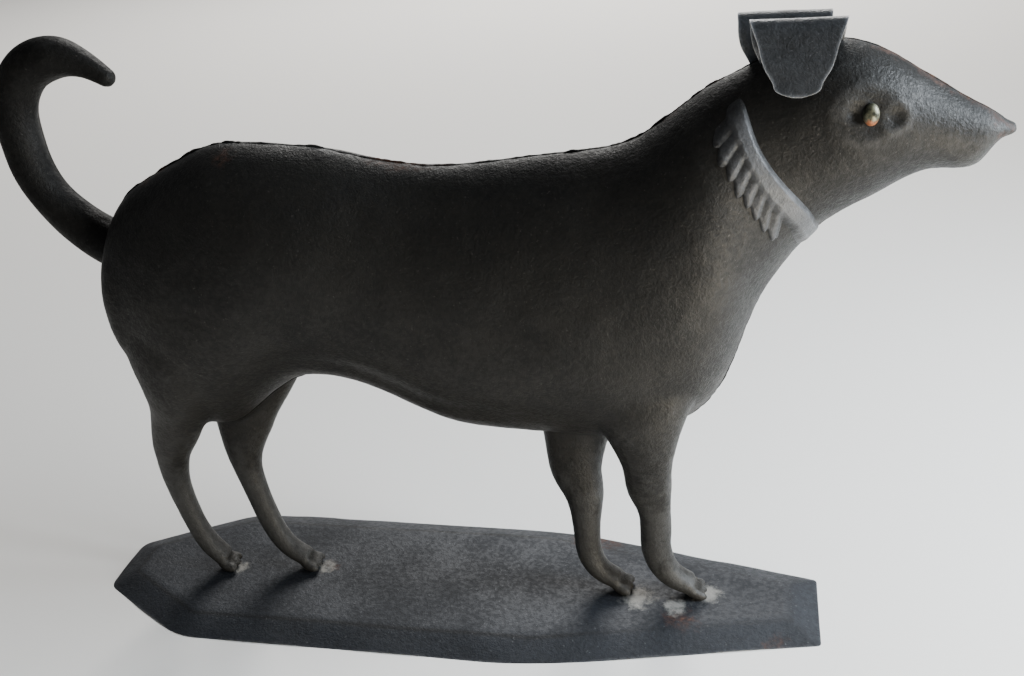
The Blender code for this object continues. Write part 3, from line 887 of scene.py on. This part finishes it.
def earShape(hand, place):
    # a strip that follows its line across the head, as wide as the table says, and as thick
    # as the sheet; its faces carry a slow ripple and its edge a small waver
    line = np.asarray(earValues["line"], float)
    knots = runLengths(line[:, 0:2])
    along = np.linspace(0, knots[-1], earValues["rows"])
    read = smoothThrough(knots, line, along)
    ahead = np.gradient(read[:, 0:2], axis=0)
    ahead = ahead / np.linalg.norm(ahead, axis=1)[:, None]
    out = np.stack([-ahead[:, 1], ahead[:, 0]], axis=-1)
    spread = np.sin(np.linspace(-np.pi / 2, np.pi / 2, earValues["columns"]))[None, :]
    u = np.broadcast_to(along[:, None] / 9, (len(along), spread.shape[1]))
    v = spread * read[:, 2:3] / 9
    waver = 1 + 0.02 * softNoise(np.stack([u * 1.7, u * 0, u * 0 + hand], axis=-1), 1.0, 41)
    ripple = earValues["ripple"] * softNoise(np.stack([u, v, u * 0 + 5 * hand], axis=-1), 1.0, 42)
    sides = []
    for offset in (0.5, -0.5):
        lift = out[:, None, :] * (offset * earValues["sheet"] + ripple[..., None])
        x = place + read[:, 2:3] * spread * waver
        y = hand * (read[:, None, 0] + lift[..., 0])
        z = read[:, None, 1] + lift[..., 1]
        sides.append(np.stack([x, y, z], axis=-1).reshape(-1, 3))
    inside = np.minimum(read[:, 2:3] * (1 - np.abs(spread)), (knots[-1] - along)[:, None])
    wearAndPaintedLight = np.exp(-inside / earValues["wornWidth"]).ravel()
    return toMetres(np.concatenate(sides)), sheetFaces(*inside.shape), np.concatenate([wearAndPaintedLight, wearAndPaintedLight])


def makeEar(name, hand, place):
    points, faces, wearAndPaintedLight = earShape(hand, place)
    ear = makePiece(name, points, faces, smooth=50, wearAndPaintedLight=wearAndPaintedLight)
    rounding = ear.modifiers.new("roundedEdge", "BEVEL")
    rounding.width = earValues["edgeRounding"]
    rounding.segments = 2
    rounding.limit_method = "ANGLE"
    return ear


earRight = makeEar("earRight", -1, earValues["rightPlace"])
earLeft = makeEar("earLeft", 1, earValues["leftPlace"])
print("ears done")


# eyes

eyeValues = {
    "place": (188, 283),  # x, z
    "half": (3.6, 3.4, 5.1),
    "rows": 40,
    "columns": 48,
    "sections": (16, 19),  # the sections and the angles from the spine between which it sits
    "angles": (0.9, 2.0),
}


def makeEye(name, hand):
    # an ellipsoid half sunk in the side of the head, at the skin's nearest point to its place
    start, end = eyeValues["sections"]
    along = np.linspace(bodyKnots[start], bodyKnots[end], 120)
    turn = hand * np.linspace(*eyeValues["angles"], 160)
    skin = skinPoints(*np.meshgrid(along, turn, indexing="ij")).reshape(-1, 3)
    miss = np.hypot(skin[:, 0] - eyeValues["place"][0], skin[:, 2] - eyeValues["place"][1])
    seat = skin[np.argmin(miss)]
    lean = np.linspace(0, np.pi, eyeValues["rows"] + 2)[1:-1][:, None]
    turn = (np.arange(eyeValues["columns"]) * 2 * np.pi / eyeValues["columns"])[None, :]
    half = eyeValues["half"]
    x = half[0] * np.sin(lean) * np.cos(turn)
    z = half[2] * np.sin(lean) * np.sin(turn)
    y = hand * half[1] * np.cos(lean) + 0 * turn
    rings = seat + np.stack([x, y, z], axis=-1)
    tips = [seat + np.array([0, hand * half[1] * end, 0]) for end in (1, -1)]
    return makePiece(name, *closedTube(toMetres(rings), toMetres(tips[0]), toMetres(tips[1])))


eyeRight = makeEye("eyeRight", -1)
eyeLeft = makeEye("eyeLeft", 1)
print("eyes done")


# base: one sheet, folded down and outwards all round

baseValues = {
    "plan": ((-0.2474, 0.022), (-0.1829, 0.062), (0.026, 0.062), (0.181, 0.0285)),  # x, half width
    "roundings": (0.006, 0.012, 0.03, 0.0025),  # how far each corner's curve reaches
    "height": 0.007,
    "skirt": 0.016,
    "sheet": 0.0012,
    "rim": 0.00299,
    "foldSoftness": 0.0009,
    "aSide": 66,  # points on each side, and on each corner's curve
    "aCorner": 14,
    "pastFold": 0.0045,  # how far inside the fold the closely set rings go on
    "skirtRings": 28,
    "undersideRings": 14,
    "plateRings": 30,
    "wave": (0.036, 0.0012),
    "lip": (0.023, 0.0006),
    "buckle": (0.05, 0.0004),
    "wornWidth": 0.0012,
}


def insetPlan(plan, distance):
    # each side of the plan moved inwards by the distance, and crossed with the one before
    ahead = np.roll(plan, -1, axis=0) - plan
    ahead = ahead / np.linalg.norm(ahead, axis=1)[:, None]
    moved = plan + distance * np.stack([-ahead[:, 1], ahead[:, 0]], axis=-1)
    before, beforeAhead = np.roll(moved, 1, axis=0), np.roll(ahead, 1, axis=0)
    gap = moved - before
    cross = beforeAhead[:, 0] * ahead[:, 1] - beforeAhead[:, 1] * ahead[:, 0]
    reach = (gap[:, 0] * ahead[:, 1] - gap[:, 1] * ahead[:, 0]) / cross
    return before + beforeAhead * reach[:, None]


def basePlan():
    half = np.array(baseValues["plan"])
    return np.concatenate([half * (1, -1), half[::-1]])


def roundedPlan(corners, reaches):
    # straight sides, and at each corner a curve from t = 0 to 1:
    # (1 - t)^2 start + 2 t (1 - t) corner + t^2 end
    ahead = np.roll(corners, -1, axis=0) - corners
    ahead = ahead / np.linalg.norm(ahead, axis=1)[:, None]
    start = corners - np.roll(ahead, 1, axis=0) * reaches[:, None]
    end = corners + ahead * reaches[:, None]
    t = np.linspace(0, 1, baseValues["aCorner"])[None, :, None]
    curve = (1 - t) ** 2 * start[:, None] + 2 * t * (1 - t) * corners[:, None] + t**2 * end[:, None]
    t = np.linspace(0, 1, baseValues["aSide"] + 2)[None, 1:-1, None]
    side = end[:, None] * (1 - t) + np.roll(start, -1, axis=0)[:, None] * t
    return np.concatenate([curve, side], axis=1).reshape(-1, 2)


def insideRim(points):
    # distance inwards from the nearest side of the plan
    plan = basePlan()
    ahead = np.roll(plan, -1, axis=0) - plan
    ahead = ahead / np.linalg.norm(ahead, axis=1)[:, None]
    inwards = np.stack([-ahead[:, 1], ahead[:, 0]], axis=-1)
    return ((points[:, None, 0:2] - plan[None]) * inwards[None]).sum(axis=-1).min(axis=1)


def baseShape():
    # rings at growing distance inside the rim: the height grows evenly with the distance and
    # is held at the plate's height with a soft fold; the underside is the same, one sheet lower
    values = baseValues
    plan, slope = basePlan(), values["height"] / values["skirt"]
    reaches = np.array(values["roundings"])
    reaches = np.concatenate([reaches, reaches[::-1]])

    def level(distance, top):
        soft = values["foldSoftness"]
        return max(top - soft * math.log1p(math.exp((top - distance * slope) / soft)), 0)

    def ring(distance, rise):
        flat = roundedPlan(insetPlan(plan, distance), reaches)
        return np.column_stack([flat, np.full(len(flat), rise)])

    under = values["height"] - values["sheet"]
    inmost = values["skirt"] + values["pastFold"]
    outer = np.concatenate([[0.0004, 0.001], np.linspace(0.002, inmost, values["skirtRings"])])
    inner = np.linspace(values["rim"] + 0.0005, inmost, values["undersideRings"])
    upper = [ring(distance, level(distance, values["height"])) for distance in outer]
    lower = [ring(distance, level(distance - values["rim"], under)) for distance in inner]
    stack = [upper[-1] * (1, shrink, 1) for shrink in np.linspace(0, 0.98, values["plateRings"])]
    stack += upper[::-1] + [ring(0.0, 0.0), ring(values["rim"], 0.0)] + lower
    stack += [lower[-1] * (1, shrink, 1) for shrink in np.linspace(0.98, 0, values["plateRings"] // 3)]
    rings = np.array(stack)
    points, flat = rings.reshape(-1, 3), (rings * (1, 1, 0)).reshape(-1, 3)
    # the skirt waves in and out, its lip up and down, and the plate buckles a little
    low = 1 - eased(points[:, 2:3] / values["height"])
    inwards = flat * (0.25, 1, 0)
    inwards = -inwards / np.maximum(np.linalg.norm(inwards, axis=1)[:, None], 1e-6)
    wave = 0.5 + 0.5 * softNoise(flat, values["wave"][0], 51)[:, None]
    points = points + inwards * wave * low * values["wave"][1]
    lifted = softNoise(flat, values["buckle"][0], 52) - 1
    points[:, 2] += lifted * values["buckle"][1] * eased(points[:, 2] / values["height"])
    lip = eased(0.5 + 0.8 * softNoise(flat, values["lip"][0], 53))
    points[:, 2] += values["lip"][1] * lip * low[:, 0]
    return points, gridFaces(len(rings), rings.shape[1], True)


def makeBase():
    # the value is high at the rim, as e^(-distance / width), painted as rubbed wear, and low along the fold,
    # as a bell of the distance that is fainter towards the head: a painted shadow in the fold's groove,
    # weaker at the lit head end
    base = makePiece("foldedBase", *baseShape(), smooth=35)
    points = pointsOf(base.data)
    inside, width = insideRim(points), baseValues["wornWidth"]
    rim = np.exp(-np.maximum(inside - 0.0006, 0) / width)
    # painted shadow along the fold's groove
    fold = np.exp(-(((inside - baseValues["skirt"]) / (width * 1.3)) ** 2))
    fold = fold * (0.4 + 0.6 * eased((0.1 - points[:, 0]) / 0.08))
    setWorn(base.data, 0.45 + 0.45 * rim - 0.3 * fold)
    return base


foldedBase = makeBase()
print("base:", len(foldedBase.data.polygons), "faces")


# finishes: node groups shared by several materials


def newGroup(name, inputs, outputs):
    group = bpy.data.node_groups.new(name, "ShaderNodeTree")
    for label, kind, value in inputs:
        made = group.interface.new_socket(label, in_out="INPUT", socket_type=kind)
        if value is not None:
            made.default_value = value
    for label, kind in outputs:
        group.interface.new_socket(label, in_out="OUTPUT", socket_type=kind)
    return group, group.nodes.new("NodeGroupInput"), group.nodes.new("NodeGroupOutput")


def addNode(tree, kind, values=None, **settings):
    node = tree.nodes.new(kind)
    for key, value in settings.items():
        setattr(node, key, value)
    for key, value in (values or {}).items():
        node.inputs[key].default_value = value
    return node


def noiseNode(tree, coords, scale, detail=4.0, roughness=0.55, distortion=0.0):
    given = {"Detail": detail, "Roughness": roughness, "Distortion": distortion}
    node = addNode(tree, "ShaderNodeTexNoise", given)
    if isinstance(scale, (int, float)):
        node.inputs["Scale"].default_value = scale
    else:
        tree.links.new(scale, node.inputs["Scale"])
    tree.links.new(coords, node.inputs["Vector"])
    return node.outputs["Fac"]


def remapped(tree, value, fromLow, fromHigh, toLow=0.0, toHigh=1.0):
    # one range of values carried to another with eased ends
    node = addNode(tree, "ShaderNodeMapRange", interpolation_type="SMOOTHSTEP")
    labels = ("From Min", "From Max", "To Min", "To Max")
    for key, number in zip(labels, (fromLow, fromHigh, toLow, toHigh)):
        if isinstance(number, (int, float)):
            node.inputs[key].default_value = number
        else:
            tree.links.new(number, node.inputs[key])
    tree.links.new(value, node.inputs["Value"])
    return node.outputs["Result"]


def calculated(tree, operation, one, two):
    node = addNode(tree, "ShaderNodeMath", operation=operation)
    for place, value in enumerate((one, two)):
        if isinstance(value, (int, float)):
            node.inputs[place].default_value = value
        else:
            tree.links.new(value, node.inputs[place])
    return node.outputs[0]


def scaled(tree, value, share):
    return calculated(tree, "MULTIPLY", value, share)


def mixedColour(tree, share, one, two):
    node = addNode(tree, "ShaderNodeMix", data_type="RGBA")
    for place, value in ((0, share), (6, one), (7, two)):
        if isinstance(value, tuple):
            node.inputs[place].default_value = (*value, 1.0)
        elif isinstance(value, (int, float)):
            node.inputs[place].default_value = value
        else:
            tree.links.new(value, node.inputs[place])
    return node.outputs[2]


def makeGrainGroup():
    # pitted grain of old sheet iron: its height, its large clouds, a fine mottle and flecks
    group, given, result = newGroup(
        "ironGrain",
        [
            ("Coords", "NodeSocketVector", None),
            ("Pit Scale", "NodeSocketFloat", 900.0),
            ("Cloud Scale", "NodeSocketFloat", 40.0),
        ],
        [
            ("Height", "NodeSocketFloat"),
            ("Clouds", "NodeSocketFloat"),
            ("Mottle", "NodeSocketFloat"),
            ("Flecks", "NodeSocketFloat"),
        ],
    )
    coords, pitScale = given.outputs["Coords"], given.outputs["Pit Scale"]
    pits = noiseNode(group, coords, pitScale, 3.0, 0.6)
    leather = noiseNode(group, coords, scaled(group, pitScale, 0.42), 4.0, 0.65)
    clouds = noiseNode(group, coords, given.outputs["Cloud Scale"], 5.0, 0.6, 0.2)
    height = calculated(group, "ADD", scaled(group, pits, 0.5), scaled(group, leather, 0.8))
    dots = noiseNode(group, coords, scaled(group, pitScale, 0.8), 1.0, 0.5)
    group.links.new(height, result.inputs["Height"])
    group.links.new(remapped(group, clouds, 0.33, 0.67), result.inputs["Clouds"])
    group.links.new(remapped(group, leather, 0.36, 0.64), result.inputs["Mottle"])
    group.links.new(remapped(group, dots, 0.69, 0.78), result.inputs["Flecks"])
    return group


def makeWearAndLightGroup():
    # edges rubbed bright, and painted highlights, where the value is high, broken up by the grain, and dirt
    # with painted shade where it is low
    group, given, result = newGroup(
        "rubbedEdgesAndPaintedLight",
        [
            ("Coords", "NodeSocketVector", None),
            ("Worn", "NodeSocketFloat", 0.5),
            ("From", "NodeSocketFloat", 0.6),
            ("To", "NodeSocketFloat", 0.95),
        ],
        [("EdgeAndHighlight", "NodeSocketFloat"), ("DirtAndShade", "NodeSocketFloat")],
    )
    broken = noiseNode(group, given.outputs["Coords"], 260.0, 4.0, 0.6)
    shift = scaled(group, calculated(group, "SUBTRACT", broken, 0.5), 0.6)
    total = calculated(group, "ADD", given.outputs["Worn"], shift)
    edge = remapped(group, total, given.outputs["From"], given.outputs["To"])
    group.links.new(edge, result.inputs["EdgeAndHighlight"])
    # the low end darkens hollows, folds and pleat valleys: dirt and painted shade
    group.links.new(remapped(group, given.outputs["Worn"], 0.12, 0.45, 1.0, 0.0), result.inputs["DirtAndShade"])
    return group


rustValues = {
    "dark": (0.026, 0.012, 0.009),
    "pale": (0.105, 0.045, 0.026),
    "edge": (0.78, 1.15),  # from the first traces to full cover
}


def makeRustGroup():
    # rust that creeps over the places where the mask is high, with a broken edge
    group, given, result = newGroup(
        "creepingRust",
        [
            ("Coords", "NodeSocketVector", None),
            ("Where", "NodeSocketFloat", 0.0),
            ("Scale", "NodeSocketFloat", 150.0),
            ("Reach", "NodeSocketFloat", 0.5),
        ],
        [("Mask", "NodeSocketFloat"), ("Colour", "NodeSocketColor")],
    )
    broken = noiseNode(group, given.outputs["Coords"], given.outputs["Scale"], 6.0, 0.7, 0.2)
    reach = calculated(group, "MULTIPLY", given.outputs["Where"], given.outputs["Reach"])
    mask = remapped(group, calculated(group, "ADD", reach, broken), *rustValues["edge"])
    shade = noiseNode(group, given.outputs["Coords"], 420.0, 4.0, 0.65)
    shade = remapped(group, shade, 0.35, 0.7)
    colour = mixedColour(group, shade, rustValues["dark"], rustValues["pale"])
    group.links.new(mask, result.inputs["Mask"])
    group.links.new(colour, result.inputs["Colour"])
    return group


def makeSpotGroup():
    # 1 at a point, falling to 0 at a distance
    group, given, result = newGroup(
        "spot",
        [
            ("Coords", "NodeSocketVector", None),
            ("Middle", "NodeSocketVector", None),
            ("Radius", "NodeSocketFloat", 0.01),
        ],
        [("Mask", "NodeSocketFloat")],
    )
    apart = addNode(group, "ShaderNodeVectorMath", operation="DISTANCE")
    group.links.new(given.outputs["Coords"], apart.inputs[0])
    group.links.new(given.outputs["Middle"], apart.inputs[1])
    share = calculated(group, "DIVIDE", apart.outputs["Value"], given.outputs["Radius"])
    group.links.new(remapped(group, share, 0.0, 1.0, 1.0, 0.0), result.inputs["Mask"])
    return group


grainGroup, wearAndLightGroup = makeGrainGroup(), makeWearAndLightGroup()
rustGroup, spotGroup = makeRustGroup(), makeSpotGroup()


def placeGroup(tree, group, coords, **values):
    node = addNode(tree, "ShaderNodeGroup", node_tree=group)
    tree.links.new(coords, node.inputs["Coords"])
    for key, value in values.items():
        socket = node.inputs[key.replace("_", " ")]
        if hasattr(value, "is_linked"):
            tree.links.new(value, socket)
        else:
            socket.default_value = value
    return node


def greatest(tree, masks):
    total = masks[0]
    for mask in masks[1:]:
        total = calculated(tree, "MAXIMUM", total, mask)
    return total


def spotsMask(tree, coords, spots):
    # 1 at the middle of each spot and 0 at its radius
    groups = [placeGroup(tree, spotGroup, coords, Middle=middle, Radius=radius) for middle, radius in spots]
    return greatest(tree, [group.outputs["Mask"] for group in groups])


ironValues = {
    "body": {
        "dark": (0.004, 0.0039, 0.0037),
        "pale": (0.0135, 0.0128, 0.0112),
        # a warm pale tone on the lower flanks and legs: painted bounce light from the floor
        "paintedBounce": (0.06, 0.048, 0.032),  # on the lower flanks and the legs
        "paintedBounceRange": (0.235, 0.13),
        "paintedBounceShare": 0.06,
        "edge": (0.09, 0.09, 0.088),
        "edgeRange": (0.66, 1.05),
        "edgeShare": 0.3,
        "fleck": (0.1, 0.095, 0.085),
        "roughness": (0.6, 0.46),
        "metallic": 0.2,
        "specular": 0.32,
        "bump": 0.0009,
        "pitScale": 900.0,
        "cloudScale": 26.0,
    },
    "tail": {
        "dark": (0.003, 0.0029, 0.0027),
        "pale": (0.0085, 0.008, 0.0072),
        "edge": (0.06, 0.058, 0.055),
        "edgeRange": (0.66, 1.05),
        "edgeShare": 0.25,
        "fleck": (0.08, 0.075, 0.07),
        "roughness": (0.68, 0.54),
        "metallic": 0.1,
        "specular": 0.14,
        "bump": 0.0011,
        "pitScale": 800.0,
        "cloudScale": 40.0,
    },
    # the collar's low edge range and large edge share paint its whole raised band pale: a painted highlight
    "collar": {
        "dark": (0.016, 0.0165, 0.017),
        "pale": (0.036, 0.037, 0.039),
        "edge": (0.13, 0.135, 0.145),
        "edgeRange": (0.45, 0.95),
        "edgeShare": 0.55,
        "fleck": (0.14, 0.14, 0.14),
        "roughness": (0.55, 0.42),
        "metallic": 0.3,
        "specular": 0.42,
        "bump": 0.0008,
        "pitScale": 900.0,
        "cloudScale": 60.0,
    },
    "ears": {
        "dark": (0.045, 0.048, 0.052),
        "pale": (0.13, 0.138, 0.15),
        "edge": (0.42, 0.42, 0.42),
        "edgeRange": (0.5, 0.95),
        "edgeShare": 0.6,
        "fleck": (0.2, 0.2, 0.21),
        "roughness": (0.5, 0.38),
        "metallic": 0.35,
        "specular": 0.5,
        "bump": 0.0007,
        "pitScale": 1000.0,
        "cloudScale": 90.0,
    },
    "base": {
        "dark": (0.011, 0.0125, 0.0155),
        "pale": (0.022, 0.025, 0.031),
        "edge": (0.13, 0.134, 0.14),
        "edgeRange": (0.62, 1.05),
        "edgeShare": 0.5,
        "fleck": (0.16, 0.165, 0.17),
        "roughness": (0.72, 0.56),
        "metallic": 0.3,
        "specular": 0.4,
        "bump": 0.0008,
        "pitScale": 800.0,
        "cloudScale": 22.0,
    },
}


stainValues = {
    # dark mix where the value is low: dirt, and painted shade in hollows, along the base's fold and between
    # pleats
    "dirtAndShade": (0.005, 0.0048, 0.0045),
    "dirtAndShadeShare": 0.6,
    "fleckShare": 0.3,
    "rustShare": 0.8,
    "solder": (0.36, 0.35, 0.32),
    "solderEdge": (0.72, 1.1),
    "solderShare": 0.6,
}


def startMaterial(name):
    material = bpy.data.materials.new(name)
    material.use_nodes = True
    tree = material.node_tree
    shader = tree.nodes["Principled BSDF"]
    coords = addNode(tree, "ShaderNodeTexCoord").outputs["Object"]
    return material, tree, shader, coords


def ironMaterial(name, values, rustSpots=(), rustReach=0.42, rustMasks=(), paleSpots=()):
    # clouds and mottle between a dark and a paler iron, a painted warm bounce light low down, rubbed edges
    # and painted highlights, dirt and painted shade, flecks, rust and pale solder stains where their spots
    # are, and the grain as bump
    material, tree, shader, coords = startMaterial(name)
    wearAndPaintedLight = addNode(tree, "ShaderNodeAttribute", attribute_name="wearAndPaintedLight").outputs["Fac"]
    scales = {"Pit_Scale": values["pitScale"], "Cloud_Scale": values["cloudScale"]}
    grain = placeGroup(tree, grainGroup, coords, **scales)
    start, end = values["edgeRange"]
    wearAndLight = placeGroup(tree, wearAndLightGroup, coords, Worn=wearAndPaintedLight, From=start, To=end)
    blend = (scaled(tree, grain.outputs[label], 0.5) for label in ("Clouds", "Mottle"))
    blend = calculated(tree, "ADD", *blend)
    colour = mixedColour(tree, blend, values["dark"], values["pale"])
    # towards the ground the colour turns warm and pale: painted bounce light
    if "paintedBounce" in values:
        parts = addNode(tree, "ShaderNodeSeparateXYZ")
        tree.links.new(coords, parts.inputs[0])
        high, low = values["paintedBounceRange"]
        depth = remapped(tree, parts.outputs["Z"], low, high, 1.0, 0.0)
        share = values["paintedBounceShare"]
        share = remapped(tree, blend, 0.0, 1.0, 0.45 * share, 1.5 * share)
        share = scaled(tree, share, depth)
        colour = mixedColour(tree, share, colour, values["paintedBounce"])
    # pale where the value is high: rubbed wear, and on the collar's band a painted highlight
    share = scaled(tree, wearAndLight.outputs["EdgeAndHighlight"], values["edgeShare"])
    colour = mixedColour(tree, share, colour, values["edge"])
    # darker where the value is low: dirt and painted shade
    share = scaled(tree, wearAndLight.outputs["DirtAndShade"], stainValues["dirtAndShadeShare"])
    colour = mixedColour(tree, share, colour, stainValues["dirtAndShade"])
    share = scaled(tree, grain.outputs["Flecks"], stainValues["fleckShare"])
    colour = mixedColour(tree, share, colour, values["fleck"])
    rough = remapped(tree, blend, 0.1, 0.9, *values["roughness"])
    metal = values["metallic"]
    where = [makeMask(tree, coords) for makeMask in rustMasks]
    if rustSpots:
        where.append(spotsMask(tree, coords, rustSpots))
    if where:
        where = greatest(tree, where)
        rust = placeGroup(tree, rustGroup, coords, Where=where, Reach=rustReach).outputs
        share = scaled(tree, rust["Mask"], stainValues["rustShare"])
        colour = mixedColour(tree, share, colour, rust["Colour"])
        rough = calculated(tree, "ADD", rough, scaled(tree, rust["Mask"], 0.2))
        metal = remapped(tree, rust["Mask"], 0.0, 1.0, metal, 0.05)
    if paleSpots:
        broken = noiseNode(tree, coords, 170.0, 6.0, 0.7, 0.3)
        total = scaled(tree, spotsMask(tree, coords, paleSpots), 0.55)
        total = calculated(tree, "ADD", total, broken)
        share = remapped(tree, total, *stainValues["solderEdge"])
        share = scaled(tree, share, stainValues["solderShare"])
        colour = mixedColour(tree, share, colour, stainValues["solder"])
        rough = calculated(tree, "ADD", rough, scaled(tree, share, 0.25))
    tree.links.new(colour, shader.inputs["Base Color"])
    tree.links.new(rough, shader.inputs["Roughness"])
    shader.inputs["Specular IOR Level"].default_value = values["specular"]
    if isinstance(metal, float):
        shader.inputs["Metallic"].default_value = metal
    else:
        tree.links.new(metal, shader.inputs["Metallic"])
    bump = addNode(tree, "ShaderNodeBump", {"Strength": 0.6, "Distance": values["bump"]})
    tree.links.new(grain.outputs["Height"], bump.inputs["Height"])
    tree.links.new(bump.outputs["Normal"], shader.inputs["Normal"])
    return material


def spineMask(tree, coords):
    # a strip along the back, from the height above the ground and the distance from the middle
    parts = addNode(tree, "ShaderNodeSeparateXYZ")
    tree.links.new(coords, parts.inputs[0])
    off = calculated(tree, "ABSOLUTE", parts.outputs["Y"], 0.0)
    strip = remapped(tree, off, 0.001, 0.017, 1.0, 0.0)
    high = remapped(tree, parts.outputs["Z"], 0.235, 0.255)
    patchy = remapped(tree, noiseNode(tree, coords, 28.0, 2.0, 0.5), 0.42, 0.62, 0.15, 1.0)
    return scaled(tree, scaled(tree, strip, high), patchy)


bodyIron = ironMaterial(
    "blackenedIron",
    ironValues["body"],
    rustSpots=[((0.248, -0.004, 0.2775), 0.021), ((-0.124, -0.011, 0.2735), 0.02)],
    rustMasks=[spineMask],
)
seamIron = ironMaterial("seamIron", ironValues["tail"], rustMasks=[spineMask], rustReach=0.5)
tailIron = ironMaterial("tailIron", ironValues["tail"])
collarIron = ironMaterial("collarIron", ironValues["collar"])
earIron = ironMaterial(
    "earIron",
    ironValues["ears"],
    rustSpots=[((0.157, -0.0285, 0.2995), 0.008), ((0.151, 0.0285, 0.2995), 0.008)],
)
baseIron = ironMaterial(
    "baseIron",
    ironValues["base"],
    rustSpots=[
        ((0.104, -0.022, 0.007), 0.024),
        ((-0.11, 0.004, 0.007), 0.016),
        ((0.158, -0.034, 0.004), 0.02),
        ((0.05, 0.05, 0.004), 0.04),
    ],
    rustReach=0.5,
    paleSpots=[
        ((0.118, 0.001, 0.007), 0.02),
        ((0.08, -0.006, 0.007), 0.022),
        ((0.101, -0.012, 0.007), 0.016),
        ((-0.114, 0.003, 0.007), 0.015),
        ((-0.167, -0.003, 0.007), 0.014),
    ],
)


studValues = {
    "dark": (0.03, 0.032, 0.022),
    "pale": (0.15, 0.15, 0.1),
    "rust": (0.3, 0.11, 0.045),
    "rustHeights": (0.2855, 0.2915),
}


def makeEyeMaterial():
    # tarnished pale stud, rusty at its foot
    material, tree, shader, coords = startMaterial("tarnishedStud")
    parts = addNode(tree, "ShaderNodeSeparateXYZ")
    tree.links.new(coords, parts.inputs[0])
    low = remapped(tree, parts.outputs["Z"], *studValues["rustHeights"], 1.0, 0.0)
    rust = placeGroup(tree, rustGroup, coords, Where=low, Reach=0.75, Scale=420.0)
    shade = noiseNode(tree, coords, 380.0, 4.0, 0.6)
    colour = remapped(tree, shade, 0.35, 0.65)
    colour = mixedColour(tree, colour, studValues["dark"], studValues["pale"])
    colour = mixedColour(tree, rust.outputs["Mask"], colour, studValues["rust"])
    tree.links.new(colour, shader.inputs["Base Color"])
    tree.links.new(remapped(tree, shade, 0.3, 0.7, 0.3, 0.5), shader.inputs["Roughness"])
    shader.inputs["Metallic"].default_value = 0.5
    bump = addNode(tree, "ShaderNodeBump", {"Strength": 0.4, "Distance": 0.0003})
    tree.links.new(noiseNode(tree, coords, 900.0, 3.0, 0.6), bump.inputs["Height"])
    tree.links.new(bump.outputs["Normal"], shader.inputs["Normal"])
    return material


studMetal = makeEyeMaterial()


def dress(piece, material, slotName, *nodes):
    piece.data.materials.clear()
    piece.data.materials.append(material)
    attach(piece, "root")
    if nodes:
        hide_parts(*nodes)


dress(dogBody, bodyIron, "iron_body", "dog_body")
dress(pleatedCollar, collarIron, "iron_body")
dress(spineSeam, seamIron, "iron_body")
dress(bellySeam, seamIron, "iron_body")
dress(rolledTail, tailIron, "iron_tail", "tail")
dress(earRight, earIron, "iron_ears", "ear_right")
dress(earLeft, earIron, "iron_ears", "ear_left")
dress(eyeRight, studMetal, "stud_metal", "eye_right")
dress(eyeLeft, studMetal, "stud_metal", "eye_left")
dress(foldedBase, baseIron, "iron_base", "base_tray")
print("finishes done")


# floor, world and lights

studioValues = {
    "floorHalf": 9.0,
    "floorColour": (0.8, 0.785, 0.755),
    "worldColour": (0.92, 0.95, 1.0),
    "worldStrength": 0.13,
    "lights": {  # place, aim, size, watts, colour
        "window": ((0.8, -0.02, 0.5), (0.14, 0.0, 0.2), 0.5, 21.0, (0.84, 0.92, 1.0)),
        "card": ((0.43, -0.34, 0.02), (0.12, -0.03, 0.17), 0.3, 4.6, (1.0, 0.89, 0.7)),
        "left": ((-1.3, -0.2, 1.3), (0.0, 0.0, 0.1), 1.2, 0.8, (1.0, 0.98, 0.95)),
        "back": ((-0.2, 2.6, 1.9), (0.0, 1.5, 0.0), 1.6, 110.0, (1.0, 0.98, 0.95)),
    },
}


def makeStudio(values):
    half = values["floorHalf"]
    corners = [(-half, -half, 0), (half, -half, 0), (half, half, 0), (-half, half, 0)]
    mesh = bpy.data.meshes.new("floor")
    mesh.from_pydata(corners, [], [(0, 1, 2, 3)])
    floor = bpy.data.objects.new("floor", mesh)
    bpy.context.scene.collection.objects.link(floor)
    material = bpy.data.materials.new("paleFloor")
    material.use_nodes = True
    shader = material.node_tree.nodes["Principled BSDF"]
    shader.inputs["Base Color"].default_value = (*values["floorColour"], 1.0)
    shader.inputs["Roughness"].default_value = 0.8
    mesh.materials.append(material)
    world = bpy.data.worlds.new("world")
    world.use_nodes = True
    back = world.node_tree.nodes["Background"]
    back.inputs["Color"].default_value = (*values["worldColour"], 1.0)
    back.inputs["Strength"].default_value = values["worldStrength"]
    bpy.context.scene.world = world
    for name, (place, aim, size, watts, colour) in values["lights"].items():
        data = bpy.data.lights.new(name, "AREA")
        data.shape = "DISK"
        data.size = size
        data.energy = watts
        data.color = colour
        light = bpy.data.objects.new(name, data)
        bpy.context.scene.collection.objects.link(light)
        light.visible_camera = False
        ahead = np.array(aim) - np.array(place)
        ahead = ahead / np.linalg.norm(ahead)
        right = np.cross(ahead, [0, 0, 1.0])
        right = right / np.linalg.norm(right)
        light.matrix_world = matrixAt(place, right, np.cross(right, ahead), -ahead)


makeStudio(studioValues)
print("studio done")
